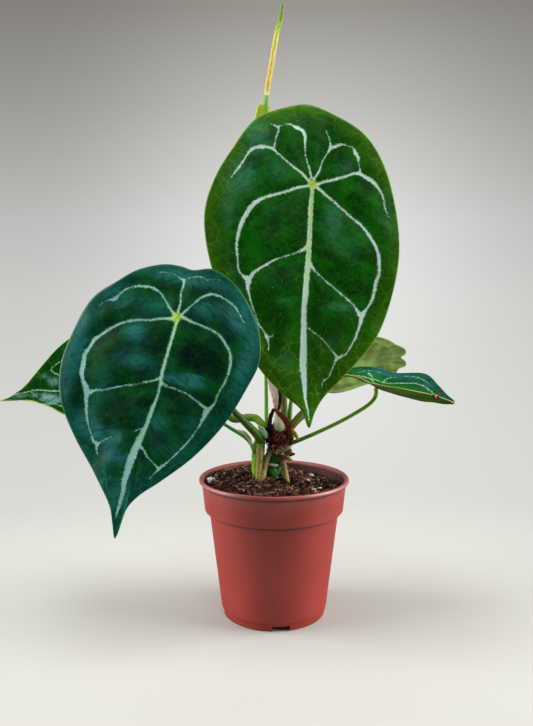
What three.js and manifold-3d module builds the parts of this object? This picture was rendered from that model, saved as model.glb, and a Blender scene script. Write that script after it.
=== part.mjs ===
// A potted Anthurium forgetii: seven heart-shaped peltate leaves and one flower spike on a short
// stem, in a 12 cm terracotta-coloured plastic nursery pot.
// Millimetres, +Z up. The origin is the centre of the pot's underside, and the plant faces -Y.
import * as THREE from 'three';
import { mergeVertices } from 'three/addons/utils/BufferGeometryUtils.js';
import Module from 'manifold-3d';

const wasm = await Module();
wasm.setup();

// Driving dimensions of the pot
const POT_RADIUS = 60;
const POT_HEIGHT = 110;
const POT_WALL = 1.3;
const LIP_HEIGHT = 3;
const COLLAR_TOP_RADIUS = 57.6;
const COLLAR_BOTTOM_RADIUS = 55.4;
const COLLAR_HEIGHT = 25.5;
const BODY_TOP_RADIUS = 51.6;
const BODY_BOTTOM_RADIUS = 42.4;
const FOOT_RADIUS = 41.4;
const FOOT_HEIGHT = 6;
const FLOOR_THICKNESS = 1.4;
const POT_SEGMENTS = 40;

// Driving dimensions of the drain channels under the pot's floor
const CHANNEL_COUNT = 4;
const CHANNEL_WIDTH = 13.6;
const CHANNEL_HEIGHT = 4;
const CHANNEL_START = 16;
const CHANNEL_ROOF = 1.2;
const CHANNEL_TURN = THREE.MathUtils.degToRad(-83);
const DRAIN_HOLE_RADIUS = 4;
const DRAIN_HOLE_REACH = 30;

// Driving dimensions of the soil
const SOIL_SEGMENTS = 32;
const SOIL_RINGS = 7;
const SOIL_LEVEL = 103.5;
const SOIL_MOUND = 10;
const SOIL_MOUND_RADIUS = 26;
const SOIL_MOUND_X = -14;
const SOIL_MOUND_Y = 4;
const SOIL_DIP = 4.5;
const SOIL_DIP_RADIUS = 17;
const SOIL_DIP_X = 42;
const SOIL_DIP_Y = 32;
const SOIL_LUMP = 0.7;

// Fits and fineness
const FIT_GAP = 0.32;
const BLADE_THICKNESS = 0.7;
const MIDRIB_SOFTNESS = 3;
const STALK_SIDES = 8;
const BLADE_REACH = 60;
const WELD = 1e-4;

// The seven leaves. A hub is where the stalk meets the blade, `towards` is a point that the tip
// hangs towards, and `face` is the way the upper face looks. An outline is in the blade's own plane,
// seen from above it with the tip down: x to the right and y away from the tip, from the hub. It
// starts at the tip and goes up the left side, and `top` is the number of its uppermost point.
// `fold` is how steeply the halves rise from the midrib, and `tipFold` the same at the tip.
// `tipBend` and `baseBend` are how far the tip and the base come forward of the plane, and `wave` is
// how far the margin sways, `ripples` times. `cells` is how finely half the blade is divided.
const LEAVES = [
  {
    name: 'leaf_1',
    hub: [28.4, -18, 337.4],
    towards: [25.6, -44, 157.2],
    face: [0.03, -1, 0.1],
    outline: [
      [0, -182], [-6, -169], [-20, -157], [-38, -138], [-62, -95], [-76, -58], [-80, -25],
      [-73, 1], [-61, 24], [-44, 48], [-22, 58], [-3, 62], [18, 54], [38, 39], [55, 10],
      [64, -30], [63, -68], [51, -110], [30, -138], [10, -160], [4, -171],
    ],
    top: 11,
    fold: 0.06,
    tipFold: 0.06,
    tipBend: -4,
    baseBend: -4,
    wave: 1.6,
    ripples: 7,
    cells: 8,
  },
  {
    name: 'leaf_2',
    hub: [-69.6, -58, 239],
    towards: [-110, -90, 89.7],
    face: [-0.12, -1, 0.1],
    outline: [
      [0, -158], [-4, -149], [-9, -138], [-25, -121], [-48, -99], [-66, -74], [-73, -50],
      [-72, -28], [-64, -1], [-50, 15], [-38, 28], [-21, 37], [-8, 38], [1, 37], [14, 41],
      [30, 36], [44, 25], [58, 7], [65, -16], [61, -37], [52, -64], [37, -92], [20, -113],
      [8, -126], [2, -137],
    ],
    top: 13,
    fold: -0.05,
    tipFold: -0.05,
    tipBend: -3,
    baseBend: -5,
    wave: 1.8,
    ripples: 6,
    cells: 8,
  },
  {
    name: 'leaf_3',
    hub: [-83.4, 18, 179.2],
    towards: [-232, 42, 172],
    face: [-0.05, -0.6, 0.8],
    outline: [
      [2, -155], [0, -148], [-3.5, -142], [-7, -136], [-12, -131], [-25, -122], [-40, -111],
      [-50, -98], [-57, -70], [-56, -30], [-44, 4], [-22, 24], [0, 28], [22, 24], [43, 4],
      [54, -28], [52, -55], [42, -76], [28, -94], [17, -109], [7, -122], [3, -132], [2.5, -141],
    ],
    top: 12,
    fold: 0.45,
    tipFold: 0.45,
    tipBend: -8,
    baseBend: -4,
    wave: 1.4,
    ripples: 5,
    cells: 6,
  },
  {
    name: 'leaf_4',
    hub: [82.5, 8, 182],
    towards: [138.3, -20.5, 148.7],
    face: [0, -0.04, 1],
    outline: [
      [0, -60.4], [-4, -58.6], [-10.1, -51.2], [-19.9, -38.9], [-33, -20.5], [-31, 0], [-25, 20],
      [-15, 32], [0, 35], [15, 32], [25, 20], [32, 0], [34, -20.5], [20.6, -38.9], [10.4, -51.2],
      [4, -58.6],
    ],
    top: 8,
    fold: 0.29,
    tipFold: 0.95,
    tipBend: 21,
    baseBend: -12,
    wave: 1,
    ripples: 4,
    cells: 6,
  },
  {
    name: 'leaf_5',
    hub: [68, 70, 191],
    towards: [122, 92, 198],
    face: [0.1, 0.8, 0.6],
    outline: [
      [0, -56], [-5, -50.5], [-7.5, -54.5], [-13, -53], [-20, -42], [-27, -32], [-31.5, -21],
      [-35, -6], [-30, 14], [-16, 25], [0, 27], [16, 25], [30, 14], [34, -8], [29, -32],
      [15, -50], [8, -51], [5, -57],
    ],
    top: 10,
    fold: 0.1,
    tipFold: 0.1,
    tipBend: -5,
    baseBend: -4,
    wave: 1.5,
    ripples: 4,
    cells: 6,
  },
  {
    name: 'leaf_6',
    hub: [36, 42, 262],
    towards: [45, 108, 215],
    face: [0.1, 0.6, 0.8],
    outline: [
      [0, -66], [-10, -54], [-24, -32], [-28, -8], [-22, 12], [-10, 21], [0, 22], [10, 21],
      [22, 12], [28, -8], [24, -32], [10, -54],
    ],
    top: 6,
    fold: 0.12,
    tipFold: 0.12,
    tipBend: -5,
    baseBend: -3,
    wave: 1,
    ripples: 4,
    cells: 5,
  },
  {
    name: 'leaf_7',
    hub: [-30, 36, 228],
    towards: [-25, 112, 190],
    face: [-0.1, 0.45, 0.9],
    outline: [
      [0, -66], [-9, -54], [-22, -32], [-26, -8], [-21, 12], [-10, 20], [0, 21], [10, 20],
      [21, 12], [26, -8], [22, -32], [9, -54],
    ],
    top: 6,
    fold: 0.12,
    tipFold: 0.12,
    tipBend: -5,
    baseBend: -3,
    wave: 1,
    ripples: 4,
    cells: 5,
  },
];

// The leaf stalks run from the crown, where their sheaths clasp the stem, to a little past the hub.
const LEAF_STALKS = {
  leaf_1: {
    points: [[7.6, 3, 145], [8, 3, 162], [7.7, 3, 174], [10, 5, 215], [17, 4, 270], [24, -2, 316]],
    radii: [3.2, 2.7, 2.2, 2, 1.9, 1.9, 2.2],
  },
  leaf_2: {
    points: [
      [-9.6, -5, 138], [-13, -9, 145], [-22.5, -15, 156.4], [-32.8, -22, 168.6], [-50, -33, 197],
      [-63, -46, 226],
    ],
    radii: [3.8, 3, 2.3, 1.9, 1.8, 1.8, 2.1],
  },
  leaf_3: {
    points: [
      [-15, -6.5, 122], [-15.6, -8, 131], [-18.2, -8, 138], [-22.8, -7, 143], [-36.7, -1, 150.7],
      [-60, 9, 164],
    ],
    radii: [1.9, 1.5, 1.4, 1.3, 1.3, 1.3, 1.6],
  },
  leaf_4: {
    points: [[8, -2, 136], [13.5, -2, 137.5], [35, 0, 146], [61, 3, 158.4], [78.4, 6, 169.4], [82, 7, 175]],
    radii: [1.8, 1.6, 1.5, 1.5, 1.5, 1.7],
  },
  leaf_5: {
    points: [[10.5, 3, 144], [17, 4, 153.5], [23.2, 9, 158.8], [40, 32, 171], [58, 58, 183]],
    radii: [2.6, 3.6, 1.8, 1.4, 1.3, 1.6],
  },
  leaf_6: {
    points: [[11, 5, 148], [12.1, 5, 154], [13.7, 7, 169], [22, 22, 212], [31, 34, 246]],
    radii: [2, 1.6, 1.4, 1.3, 1.3, 1.5],
  },
  leaf_7: {
    points: [
      [-4, 2, 148], [-9.6, 2, 152.2], [-14.4, 4, 156.3], [-21, 5, 157], [-34, 8, 155.5], [-43, 14, 170],
      [-40, 26, 204],
    ],
    radii: [2.8, 3.2, 2.8, 1.8, 1.4, 1.3, 1.3, 1.5],
  },
};

// The flower stalk, its spike and its small reflexed spathe
const PEDUNCLE = {
  points: [[-2, 1, 143], [-5.4, 1, 153], [-6.2, 2, 175], [-6.4, 4, 290], [-6.5, 6, 385], [-6, 6, 408.5]],
  radii: [1.7, 1.4, 1.2, 1.2, 1.2, 1.5],
};
const SPADIX = {
  points: [[-6, 6, 408.3], [-3.4, 7, 425], [-0.6, 8, 441], [2, 9, 456], [5, 10, 468], [6.6, 10, 478]],
  radii: [1.6, 2.1, 2.2, 2.1, 2, 1.9, 1.7, 1.1],
};
const SPATHE = {
  name: 'spathe',
  hub: [-8.9, 7.8, 398.4],
  towards: [-12.5, 13, 368],
  face: [-0.3, 1, 0.2],
  outline: [
    [0, -33], [-3.4, -24], [-5.6, -12], [-5.8, -2], [-5, 3.2], [0, 4.2], [4, 3], [5, -2], [5.2, -12],
    [3.4, -24],
  ],
  top: 5,
  fold: -0.25,
  tipFold: -0.25,
  tipBend: 4,
  baseBend: 0,
  wave: 0,
  ripples: 1,
  cells: 3,
};

const COLOURS = {
  terracotta_plastic: new THREE.MeshStandardMaterial({ color: 0x9a4a42, roughness: 0.5, metalness: 0 }),
  potting_soil: new THREE.MeshStandardMaterial({ color: 0x2e1d16, roughness: 1, metalness: 0 }),
  leaf_green: new THREE.MeshStandardMaterial({ color: 0x1f4a1c, roughness: 0.4, metalness: 0 }),
  young_leaf_green: new THREE.MeshStandardMaterial({ color: 0x6f8f43, roughness: 0.5, metalness: 0 }),
  stalk_green: new THREE.MeshStandardMaterial({ color: 0x3d6b2a, roughness: 0.5, metalness: 0 }),
  stem_tissue: new THREE.MeshStandardMaterial({ color: 0x7d8a45, roughness: 0.7, metalness: 0 }),
  dry_husk: new THREE.MeshStandardMaterial({ color: 0x4a2a20, roughness: 0.9, metalness: 0 }),
  papery_husk: new THREE.MeshStandardMaterial({ color: 0xcbb4ac, roughness: 0.8, metalness: 0 }),
  spike_yellow: new THREE.MeshStandardMaterial({ color: 0xc9b44a, roughness: 0.6, metalness: 0 }),
};

// A closed surface as a solid that can be joined and cut
function solid(geometry) {
  const bare = new THREE.BufferGeometry();
  bare.setAttribute('position', geometry.getAttribute('position'));
  bare.setIndex(geometry.getIndex());
  const welded = mergeVertices(bare, WELD);
  const index = welded.getIndex().array;
  const corners = [];
  for (let i = 0; i < index.length; i += 3) {
    const [a, b, c] = [index[i], index[i + 1], index[i + 2]];
    if (a !== b && b !== c && c !== a) corners.push(a, b, c);
  }
  return new wasm.Manifold(new wasm.Mesh({
    numProp: 3,
    vertProperties: new Float32Array(welded.getAttribute('position').array),
    triVerts: new Uint32Array(corners),
  }));
}

// The largest of the bodies that a cut leaves
function largest(shape) {
  const bodies = shape.decompose();
  return bodies.reduce((best, body) => (body.volume() > best.volume() ? body : best));
}

function piece(name, shape, material) {
  const { vertProperties, triVerts } = shape.getMesh();
  const geometry = new THREE.BufferGeometry();
  geometry.setAttribute('position', new THREE.BufferAttribute(vertProperties, 3));
  geometry.setIndex(new THREE.BufferAttribute(triVerts, 1));
  geometry.computeVertexNormals();
  const mesh = new THREE.Mesh(geometry, material);
  mesh.name = name;
  return mesh;
}

// Each earlier piece, swollen by the fit gap, which later pieces make room for
const placed = [];

function fitIn(makeShape) {
  const shape = placed.reduce((rest, other) => rest.subtract(other), makeShape(0));
  placed.push(makeShape(FIT_GAP));
  return largest(shape);
}

// A value between evenly spaced stops, at a fraction of the way along them
function along(stops, fraction) {
  const place = THREE.MathUtils.clamp(fraction, 0, 1) * (stops.length - 1);
  const first = Math.min(Math.floor(place), stops.length - 2);
  return THREE.MathUtils.lerp(stops[first], stops[first + 1], place - first);
}

// A stalk or strip along a smooth curve: a closed cylinder, bent and tapered. A strip's thin side
// looks along `facing`.
function stalk(route, grow = 0) {
  const { points, radii, thin = radii, facing = [0, 1, 0.2], sides = STALK_SIDES, steps = 14 } = route;
  const stops = points.map((point) => new THREE.Vector3(...point));
  const curve = new THREE.CatmullRomCurve3(stops, false, 'centripetal');
  const outward = new THREE.Vector3(...facing);
  const geometry = new THREE.CylinderGeometry(1, 1, 1, sides, steps);
  const place = geometry.getAttribute('position');
  for (let i = 0; i < place.count; i += 1) {
    const fraction = THREE.MathUtils.clamp(place.getY(i) + 0.5, 0, 1);
    const tangent = curve.getTangentAt(fraction);
    const across = new THREE.Vector3().crossVectors(outward, tangent).normalize();
    const out = new THREE.Vector3().crossVectors(across, tangent);
    const end = fraction === 0 ? -grow : fraction === 1 ? grow : 0;
    const point = curve.getPointAt(fraction)
      .addScaledVector(tangent, end)
      .addScaledVector(across, place.getX(i) * (along(radii, fraction) + grow))
      .addScaledVector(out, place.getZ(i) * (along(thin, fraction) + grow));
    place.setXYZ(i, point.x, point.y, point.z);
  }
  return solid(geometry);
}

function lump(centre, size, grow = 0) {
  const geometry = new THREE.SphereGeometry(1, 12, 8);
  geometry.scale(size[0] + grow, size[1] + grow, size[2] + grow);
  geometry.translate(...centre);
  return solid(geometry);
}

// A solid of revolution about the vertical axis, from radius and height pairs
function turned(profile, segments) {
  const geometry = new THREE.LatheGeometry(profile.map(([r, z]) => new THREE.Vector2(r, z)), segments);
  geometry.rotateX(Math.PI / 2);
  return geometry;
}

function bar(length, width, height, centre) {
  const geometry = new THREE.BoxGeometry(length, width, height);
  geometry.translate(...centre);
  return solid(geometry);
}

// Where a point of a square grid lies: its ring, and how far round the ring from the tip's corner
function ringPlace(i, j) {
  const ring = Math.max(Math.abs(i), Math.abs(j));
  const side = 8 * ring;
  if (ring === 0) return { ring, around: 0 };
  if (i === -ring) return { ring, around: (j + ring) / side };
  if (j === ring) return { ring, around: 0.25 + (i + ring) / side };
  if (i === ring) return { ring, around: 0.5 + (ring - j) / side };
  return { ring, around: 0.75 + (ring - i) / side };
}

// The outline as a function: 0 is the tip, 0.5 the top, and it goes up the left side
function outlineCurve({ outline, top }) {
  const samples = 20 * outline.length;
  const stops = outline.map(([x, y]) => new THREE.Vector3(x, y, 0));
  const curve = new THREE.CatmullRomCurve3(stops, true, 'centripetal');
  curve.arcLengthDivisions = samples;
  const lengths = curve.getLengths();
  const topShare = lengths[20 * top] / lengths[samples];
  return (around) => {
    const share = around < 0.5 ? around * 2 * topShare : topShare + (around * 2 - 1) * (1 - topShare);
    return curve.getPointAt(Math.min(share, 1));
  };
}

// How far a blade's middle surface stands in front of its plane
function bladeHeight(leaf, x, y, rho, around) {
  const tipY = leaf.outline[0][1];
  const topY = leaf.outline[leaf.top][1];
  const slope = THREE.MathUtils.lerp(leaf.fold, leaf.tipFold, Math.max(y / tipY, 0));
  const fold = slope * (Math.hypot(x, MIDRIB_SOFTNESS) - MIDRIB_SOFTNESS);
  const bend = y < 0 ? leaf.tipBend * (y / tipY) ** 2 : leaf.baseBend * (y / topY) ** 2;
  const sway = leaf.wave * rho ** 3 * Math.sin(2 * Math.PI * leaf.ripples * around);
  return fold + bend + sway;
}

// A blade: a square grid spread over the outline with the midrib on its diagonal. The lower face
// repeats the upper one, triangle for triangle.
function bladeGeometry(leaf, grow = 0) {
  const n = leaf.cells;
  const row = 2 * n + 1;
  const rim = outlineCurve(leaf);
  const middle = new THREE.Vector3(0, leaf.outline[0][1] / 3, 0);
  const half = BLADE_THICKNESS / 2 + grow;
  const swell = 1 + grow / BLADE_REACH;
  const upper = [];
  const lower = [];
  for (let j = -n; j <= n; j += 1) {
    for (let i = -n; i <= n; i += 1) {
      const { ring, around } = ringPlace(i, j);
      const rho = ring / n;
      const { x, y } = rim(around).sub(middle).multiplyScalar(rho * swell).add(middle);
      const height = bladeHeight(leaf, x, y, rho, around);
      upper.push(x, y, height + half);
      lower.push(x, y, height - half);
    }
  }
  const count = row * row;
  const corner = (i, j) => (j + n) * row + i + n;
  const index = [];
  const face = (a, b, c) => index.push(a, b, c, c + count, b + count, a + count);
  for (let j = -n; j < n; j += 1) {
    for (let i = -n; i < n; i += 1) {
      const [a, b, c, d] = [corner(i, j), corner(i + 1, j), corner(i + 1, j + 1), corner(i, j + 1)];
      if ((i + 0.5) * (j + 0.5) > 0) {
        face(a, b, c);
        face(a, c, d);
      } else {
        face(a, b, d);
        face(b, c, d);
      }
    }
  }
  const edge = (a, b) => index.push(a, a + count, b, b, a + count, b + count);
  for (let k = -n; k < n; k += 1) {
    edge(corner(k, -n), corner(k + 1, -n));
    edge(corner(n, k), corner(n, k + 1));
    edge(corner(-k, n), corner(-k - 1, n));
    edge(corner(-n, -k), corner(-n, -k - 1));
  }
  const geometry = new THREE.BufferGeometry();
  geometry.setAttribute('position', new THREE.Float32BufferAttribute([...upper, ...lower], 3));
  geometry.setIndex(index);
  geometry.computeVertexNormals();
  return geometry;
}

// The place of a blade's own plane: its hub, its midrib and the way it faces
function bladePlace(leaf) {
  const hub = new THREE.Vector3(...leaf.hub);
  const up = hub.clone().sub(new THREE.Vector3(...leaf.towards)).normalize();
  const right = new THREE.Vector3().crossVectors(up, new THREE.Vector3(...leaf.face)).normalize();
  const front = new THREE.Vector3().crossVectors(right, up);
  return new THREE.Matrix4().makeBasis(right, up, front).setPosition(hub);
}

function bladeSolid(leaf, grow) {
  return solid(bladeGeometry(leaf, grow)).transform(bladePlace(leaf).elements);
}

// The pot: a thin wall with a rolled lip, a straight collar and a tapered body on a recessed foot
const COLLAR_BOTTOM = POT_HEIGHT - COLLAR_HEIGHT;
const WALL_BOTTOM = FLOOR_THICKNESS + 1.6;

const potOutside = [
  [0, 0],
  [FOOT_RADIUS - 1.3, 0],
  [FOOT_RADIUS - 0.3, 0.9],
  [FOOT_RADIUS, FOOT_HEIGHT - 0.5],
  [BODY_BOTTOM_RADIUS, FOOT_HEIGHT + 0.4],
  [BODY_TOP_RADIUS, COLLAR_BOTTOM - 1.6],
  [BODY_TOP_RADIUS + 0.8, COLLAR_BOTTOM - 0.5],
  [COLLAR_BOTTOM_RADIUS - 0.5, COLLAR_BOTTOM],
  [COLLAR_BOTTOM_RADIUS, COLLAR_BOTTOM + 0.6],
  [COLLAR_TOP_RADIUS, POT_HEIGHT - LIP_HEIGHT - 0.5],
  [POT_RADIUS - 1, POT_HEIGHT - LIP_HEIGHT],
  [POT_RADIUS - 0.1, POT_HEIGHT - LIP_HEIGHT + 0.9],
  [POT_RADIUS - 0.2, POT_HEIGHT - 0.9],
  [POT_RADIUS - 1.1, POT_HEIGHT - 0.1],
];
const potInside = [
  [POT_RADIUS - 2.4, POT_HEIGHT],
  [COLLAR_TOP_RADIUS - POT_WALL, POT_HEIGHT - 1.2],
  [COLLAR_BOTTOM_RADIUS - POT_WALL, COLLAR_BOTTOM + 1.8],
  [BODY_TOP_RADIUS - POT_WALL, COLLAR_BOTTOM - 0.4],
  [BODY_BOTTOM_RADIUS - POT_WALL, FOOT_HEIGHT],
  [FOOT_RADIUS - POT_WALL, WALL_BOTTOM],
  [FOOT_RADIUS - POT_WALL - 1.4, FLOOR_THICKNESS],
  [0, FLOOR_THICKNESS],
];

// Four channels lie crosswise under the floor, each with a raised roof, a drain hole and a notch
// where it leaves the foot
function potShape() {
  const reach = BODY_BOTTOM_RADIUS - POT_WALL;
  const roofTop = CHANNEL_HEIGHT + CHANNEL_ROOF;
  const roofWidth = CHANNEL_WIDTH + 2 * POT_WALL;
  const roofStart = CHANNEL_START - POT_WALL;
  const drain = new THREE.CylinderGeometry(DRAIN_HOLE_RADIUS, DRAIN_HOLE_RADIUS, 2 * roofTop, 16);
  drain.rotateX(Math.PI / 2);
  drain.translate(DRAIN_HOLE_REACH, 0, roofTop);
  const hole = solid(drain);
  const roofMiddle = [(reach + roofStart) / 2, 0, roofTop / 2 + 0.3];
  const roof = bar(reach - roofStart, roofWidth, roofTop - 0.6, roofMiddle);
  const channel = bar(POT_RADIUS, CHANNEL_WIDTH, 2 * CHANNEL_HEIGHT, [CHANNEL_START + POT_RADIUS / 2, 0, 0]);
  const envelope = solid(turned([...potOutside, [0, POT_HEIGHT]], POT_SEGMENTS));
  let shape = solid(turned([...potOutside, ...potInside], POT_SEGMENTS));
  for (let k = 0; k < CHANNEL_COUNT; k += 1) {
    const turn = THREE.MathUtils.radToDeg(CHANNEL_TURN) + (360 / CHANNEL_COUNT) * k;
    shape = shape.add(roof.rotate([0, 0, turn]).intersect(envelope));
    shape = shape.subtract(channel.add(hole).rotate([0, 0, turn]));
  }
  return shape;
}

// The soil fills the pot to under the rim, heaped round the stem, lower at the back right, with low lumps
function soilTop(x, y) {
  const away = (x - SOIL_MOUND_X) ** 2 + (y - SOIL_MOUND_Y) ** 2;
  const mound = SOIL_MOUND * Math.exp(-away / (2 * SOIL_MOUND_RADIUS ** 2));
  const dipAway = (x - SOIL_DIP_X) ** 2 + (y - SOIL_DIP_Y) ** 2;
  const dip = SOIL_DIP * Math.exp(-dipAway / (2 * SOIL_DIP_RADIUS ** 2));
  const lumps = SOIL_LUMP * (Math.sin(0.31 * x + 1) * Math.sin(0.27 * y) + Math.sin(0.19 * (x + y)));
  return SOIL_LEVEL + mound + lumps - dip;
}

function soilShape() {
  const bottom = CHANNEL_HEIGHT + CHANNEL_ROOF + FIT_GAP;
  const wallRadius = (z) => {
    const share = (z - COLLAR_BOTTOM) / COLLAR_HEIGHT;
    return THREE.MathUtils.lerp(COLLAR_BOTTOM_RADIUS, COLLAR_TOP_RADIUS, share) - POT_WALL - FIT_GAP;
  };
  const profile = [
    [0, bottom],
    [BODY_BOTTOM_RADIUS - POT_WALL - FIT_GAP - 0.6, bottom],
    [BODY_TOP_RADIUS - POT_WALL - FIT_GAP - 0.2, COLLAR_BOTTOM - 0.2],
    [wallRadius(COLLAR_BOTTOM) - 0.2, COLLAR_BOTTOM + 2.2],
  ];
  for (let ring = SOIL_RINGS; ring >= 0; ring -= 1) {
    profile.push([(wallRadius(SOIL_LEVEL) - 0.2) * (ring / SOIL_RINGS), SOIL_LEVEL]);
  }
  const geometry = turned(profile, SOIL_SEGMENTS);
  const place = geometry.getAttribute('position');
  for (let i = 0; i < place.count; i += 1) {
    if (Math.abs(place.getZ(i) - SOIL_LEVEL) < WELD) place.setZ(i, soilTop(place.getX(i), place.getY(i)));
  }
  return solid(geometry);
}

// The old stem with its swollen nodes, a round offset bud and two prop roots
function stemShape(grow) {
  const axis = stalk({
    points: [[1, 2, 88], [0, 0, 108], [0.5, -1, 120], [5, 0, 129], [5, 0, 142], [4.5, 0, 158]],
    radii: [4, 4, 4.4, 6.2, 6.5, 6.3, 4.6],
    sides: 12,
  }, grow);
  const node = lump([7.5, -2, 128], [7, 5.5, 3.4], grow);
  const offset = lump([-0.6, -7.5, 114.5], [4.4, 4.4, 5], grow);
  const rightRoot = stalk({
    points: [[6, -2, 127], [8.5, -6.5, 118], [11, -9, 106], [12, -10, 92]],
    radii: [2.8, 2.3, 2.2, 2, 1.8],
    steps: 8,
  }, grow);
  const leftRoot = stalk({
    points: [[-1, -2, 134], [-5.5, -6, 127], [-8, -10.5, 118], [-9.5, -13, 106], [-10, -14, 92]],
    radii: [2.6, 2.4, 2.3, 2.2, 1.8],
    steps: 9,
  }, grow);
  const bud = stalk({
    points: [[8, -3, 128], [11.5, -5.5, 126], [15, -7, 124.3]],
    radii: [2.2, 1.9, 0.5],
    steps: 4,
  }, grow);
  return [node, offset, rightRoot, leftRoot, bud].reduce((whole, part) => whole.add(part), axis);
}

// The young green shoot beside it, with its own prop root
function sideShootShape(grow) {
  const axis = stalk({
    points: [[-12, -2, 88], [-12.8, -4, 106], [-13, -5, 124], [-12, -5, 136], [-10, -5, 146]],
    radii: [3.6, 4.2, 4.5, 5, 3.6],
    sides: 10,
    steps: 10,
  }, grow);
  const root = stalk({
    points: [[-11.5, -8.5, 136.5], [-11.6, -10.5, 124], [-12.5, -12.5, 110], [-14, -14, 92]],
    radii: [2.5, 2.2, 2.1, 1.8],
    steps: 8,
  }, grow);
  return axis.add(root);
}

// Brown fibres of old sheaths round the crown, with two dry strips that arch over the new shoot
function fibreCollarShape(grow) {
  const middle = 142.5;
  const profile = [
    [5, 137], [8.4, 134.6], [10.6, 138], [11.4, 143], [10, 148.4], [7, 150.6], [5, 149],
  ].map(([r, z]) => [r + Math.sign(r - 5.1) * grow, z + Math.sign(z - middle) * 2 * grow]);
  const sleeve = turned([...profile, profile[0]], 20);
  sleeve.translate(4, 0, 0);
  const rightStrip = stalk({
    points: [[-0.1, -8, 166], [3, -10, 163.5], [7, -10.5, 160], [11.6, -9.5, 152.8], [12, -7, 144]],
    radii: [1.4, 1.7, 2, 2, 2],
    thin: [0.6, 0.6, 0.7, 0.7, 0.8],
    steps: 10,
  }, grow);
  const leftStrip = stalk({
    points: [[-0.1, -8, 166], [-2, -9.2, 161], [-2.7, -9.4, 153], [-2.5, -7, 144]],
    radii: [1.4, 1.7, 2, 2.2],
    thin: [0.6, 0.6, 0.7, 0.8],
    steps: 8,
  }, grow);
  return solid(sleeve).add(rightStrip).add(leftStrip);
}

const newShoot = {
  points: [[4.7, -4, 146], [4.2, -7, 153], [2.9, -7.5, 158.5], [1.5, -6.8, 163]],
  radii: [3.6, 4, 3, 0.8],
  steps: 8,
};
const paperyHusk = {
  points: [[1.1, -5.5, 163.5], [0.7, -5, 170], [-0.9, -4, 179], [-4.5, -3, 190]],
  radii: [1.2, 2.2, 3, 2.2],
  thin: [0.5, 0.5, 0.5, 0.5],
  steps: 8,
};
const huskTip = {
  points: [[11.5, -5, 148], [15, -6.8, 147], [17.8, -7.8, 143.8], [19, -8, 141]],
  radii: [2.4, 2, 1.4, 0.5],
  thin: [1.1, 1, 0.8, 0.5],
  steps: 6,
};

const plant = new THREE.Group();
const stem = fitIn(stemShape);
const sideShoot = fitIn(sideShootShape);
const soil = placed.reduce((rest, other) => rest.subtract(other), soilShape());
const fibreCollar = fitIn(fibreCollarShape);
plant.add(
  piece('pot', potShape(), COLOURS.terracotta_plastic),
  piece('soil', largest(soil), COLOURS.potting_soil),
  piece('stem', stem, COLOURS.stem_tissue),
  piece('side_shoot', sideShoot, COLOURS.stem_tissue),
  piece('fibre_collar', fibreCollar, COLOURS.dry_husk),
  piece('new_shoot', fitIn((grow) => stalk(newShoot, grow)), COLOURS.young_leaf_green),
  piece('papery_husk', fitIn((grow) => stalk(paperyHusk, grow)), COLOURS.papery_husk),
  piece('husk_tip', fitIn((grow) => stalk(huskTip, grow)), COLOURS.dry_husk),
  piece('peduncle', fitIn((grow) => stalk({ ...PEDUNCLE, steps: 20 }, grow)), COLOURS.stalk_green),
  piece('spadix', fitIn((grow) => stalk({ ...SPADIX, steps: 12 }, grow)), COLOURS.spike_yellow),
  piece('spathe', fitIn((grow) => bladeSolid(SPATHE, grow)), COLOURS.young_leaf_green),
);

for (const leaf of LEAVES) {
  const blade = new THREE.Mesh(bladeGeometry(leaf), COLOURS.leaf_green);
  blade.name = `${leaf.name}_blade`;
  blade.applyMatrix4(bladePlace(leaf));
  plant.add(blade);
  placed.push(bladeSolid(leaf, FIT_GAP));
}

for (const leaf of LEAVES) {
  const { points, radii } = LEAF_STALKS[leaf.name];
  const route = { points: [...points, leaf.hub], radii };
  plant.add(piece(`${leaf.name}_petiole`, fitIn((grow) => stalk(route, grow)), COLOURS.stalk_green));
}

export default plant;
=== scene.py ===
"""Potted Anthurium forgetii: the looks of the plant, its soil and its nursery pot.

Every size is in millimetres and a mesh is scaled to metres when it is finished. The plant faces -Y.
"""

import math
import random

import bmesh
import bpy
import numpy as np
from bpy.props import FloatProperty, FloatVectorProperty, IntProperty, PointerProperty
from mathutils import Matrix, Vector, noise


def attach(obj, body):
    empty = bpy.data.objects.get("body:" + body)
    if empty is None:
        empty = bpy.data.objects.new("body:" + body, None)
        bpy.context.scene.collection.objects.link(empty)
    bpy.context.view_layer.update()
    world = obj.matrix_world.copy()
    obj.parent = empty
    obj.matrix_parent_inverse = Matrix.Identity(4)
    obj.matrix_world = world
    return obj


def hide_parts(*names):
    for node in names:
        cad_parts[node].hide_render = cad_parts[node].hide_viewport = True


bl_info = {
    "name": "Potted Anthurium forgetii",
    "version": (1, 0, 0),
    "blender": (4, 5, 0),
    "location": "3D View > Sidebar > Anthurium",
    "description": "Builds a potted anthurium with pale-veined velvety leaves over its fixed frame",
    "category": "Add Mesh",
}

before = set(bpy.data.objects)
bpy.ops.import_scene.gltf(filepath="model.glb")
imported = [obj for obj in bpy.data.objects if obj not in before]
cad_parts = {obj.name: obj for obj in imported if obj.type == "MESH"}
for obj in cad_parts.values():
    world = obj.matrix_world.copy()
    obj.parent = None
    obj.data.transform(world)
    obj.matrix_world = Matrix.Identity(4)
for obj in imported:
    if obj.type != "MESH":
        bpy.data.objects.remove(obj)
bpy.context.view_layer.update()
MM = 0.001


def linear(red, green, blue):
    """A colour given in sRGB bytes, as scene-linear values."""
    shares = [value / 255 for value in (red, green, blue)]
    return tuple(s / 12.92 if s <= 0.04045 else ((s + 0.055) / 1.055) ** 2.4 for s in shares)


def toned(shade, factor, lift=0):
    """A colour made darker or lighter, up to white."""
    return tuple(min(1, factor * c + lift) for c in shade)


# Settings


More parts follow.
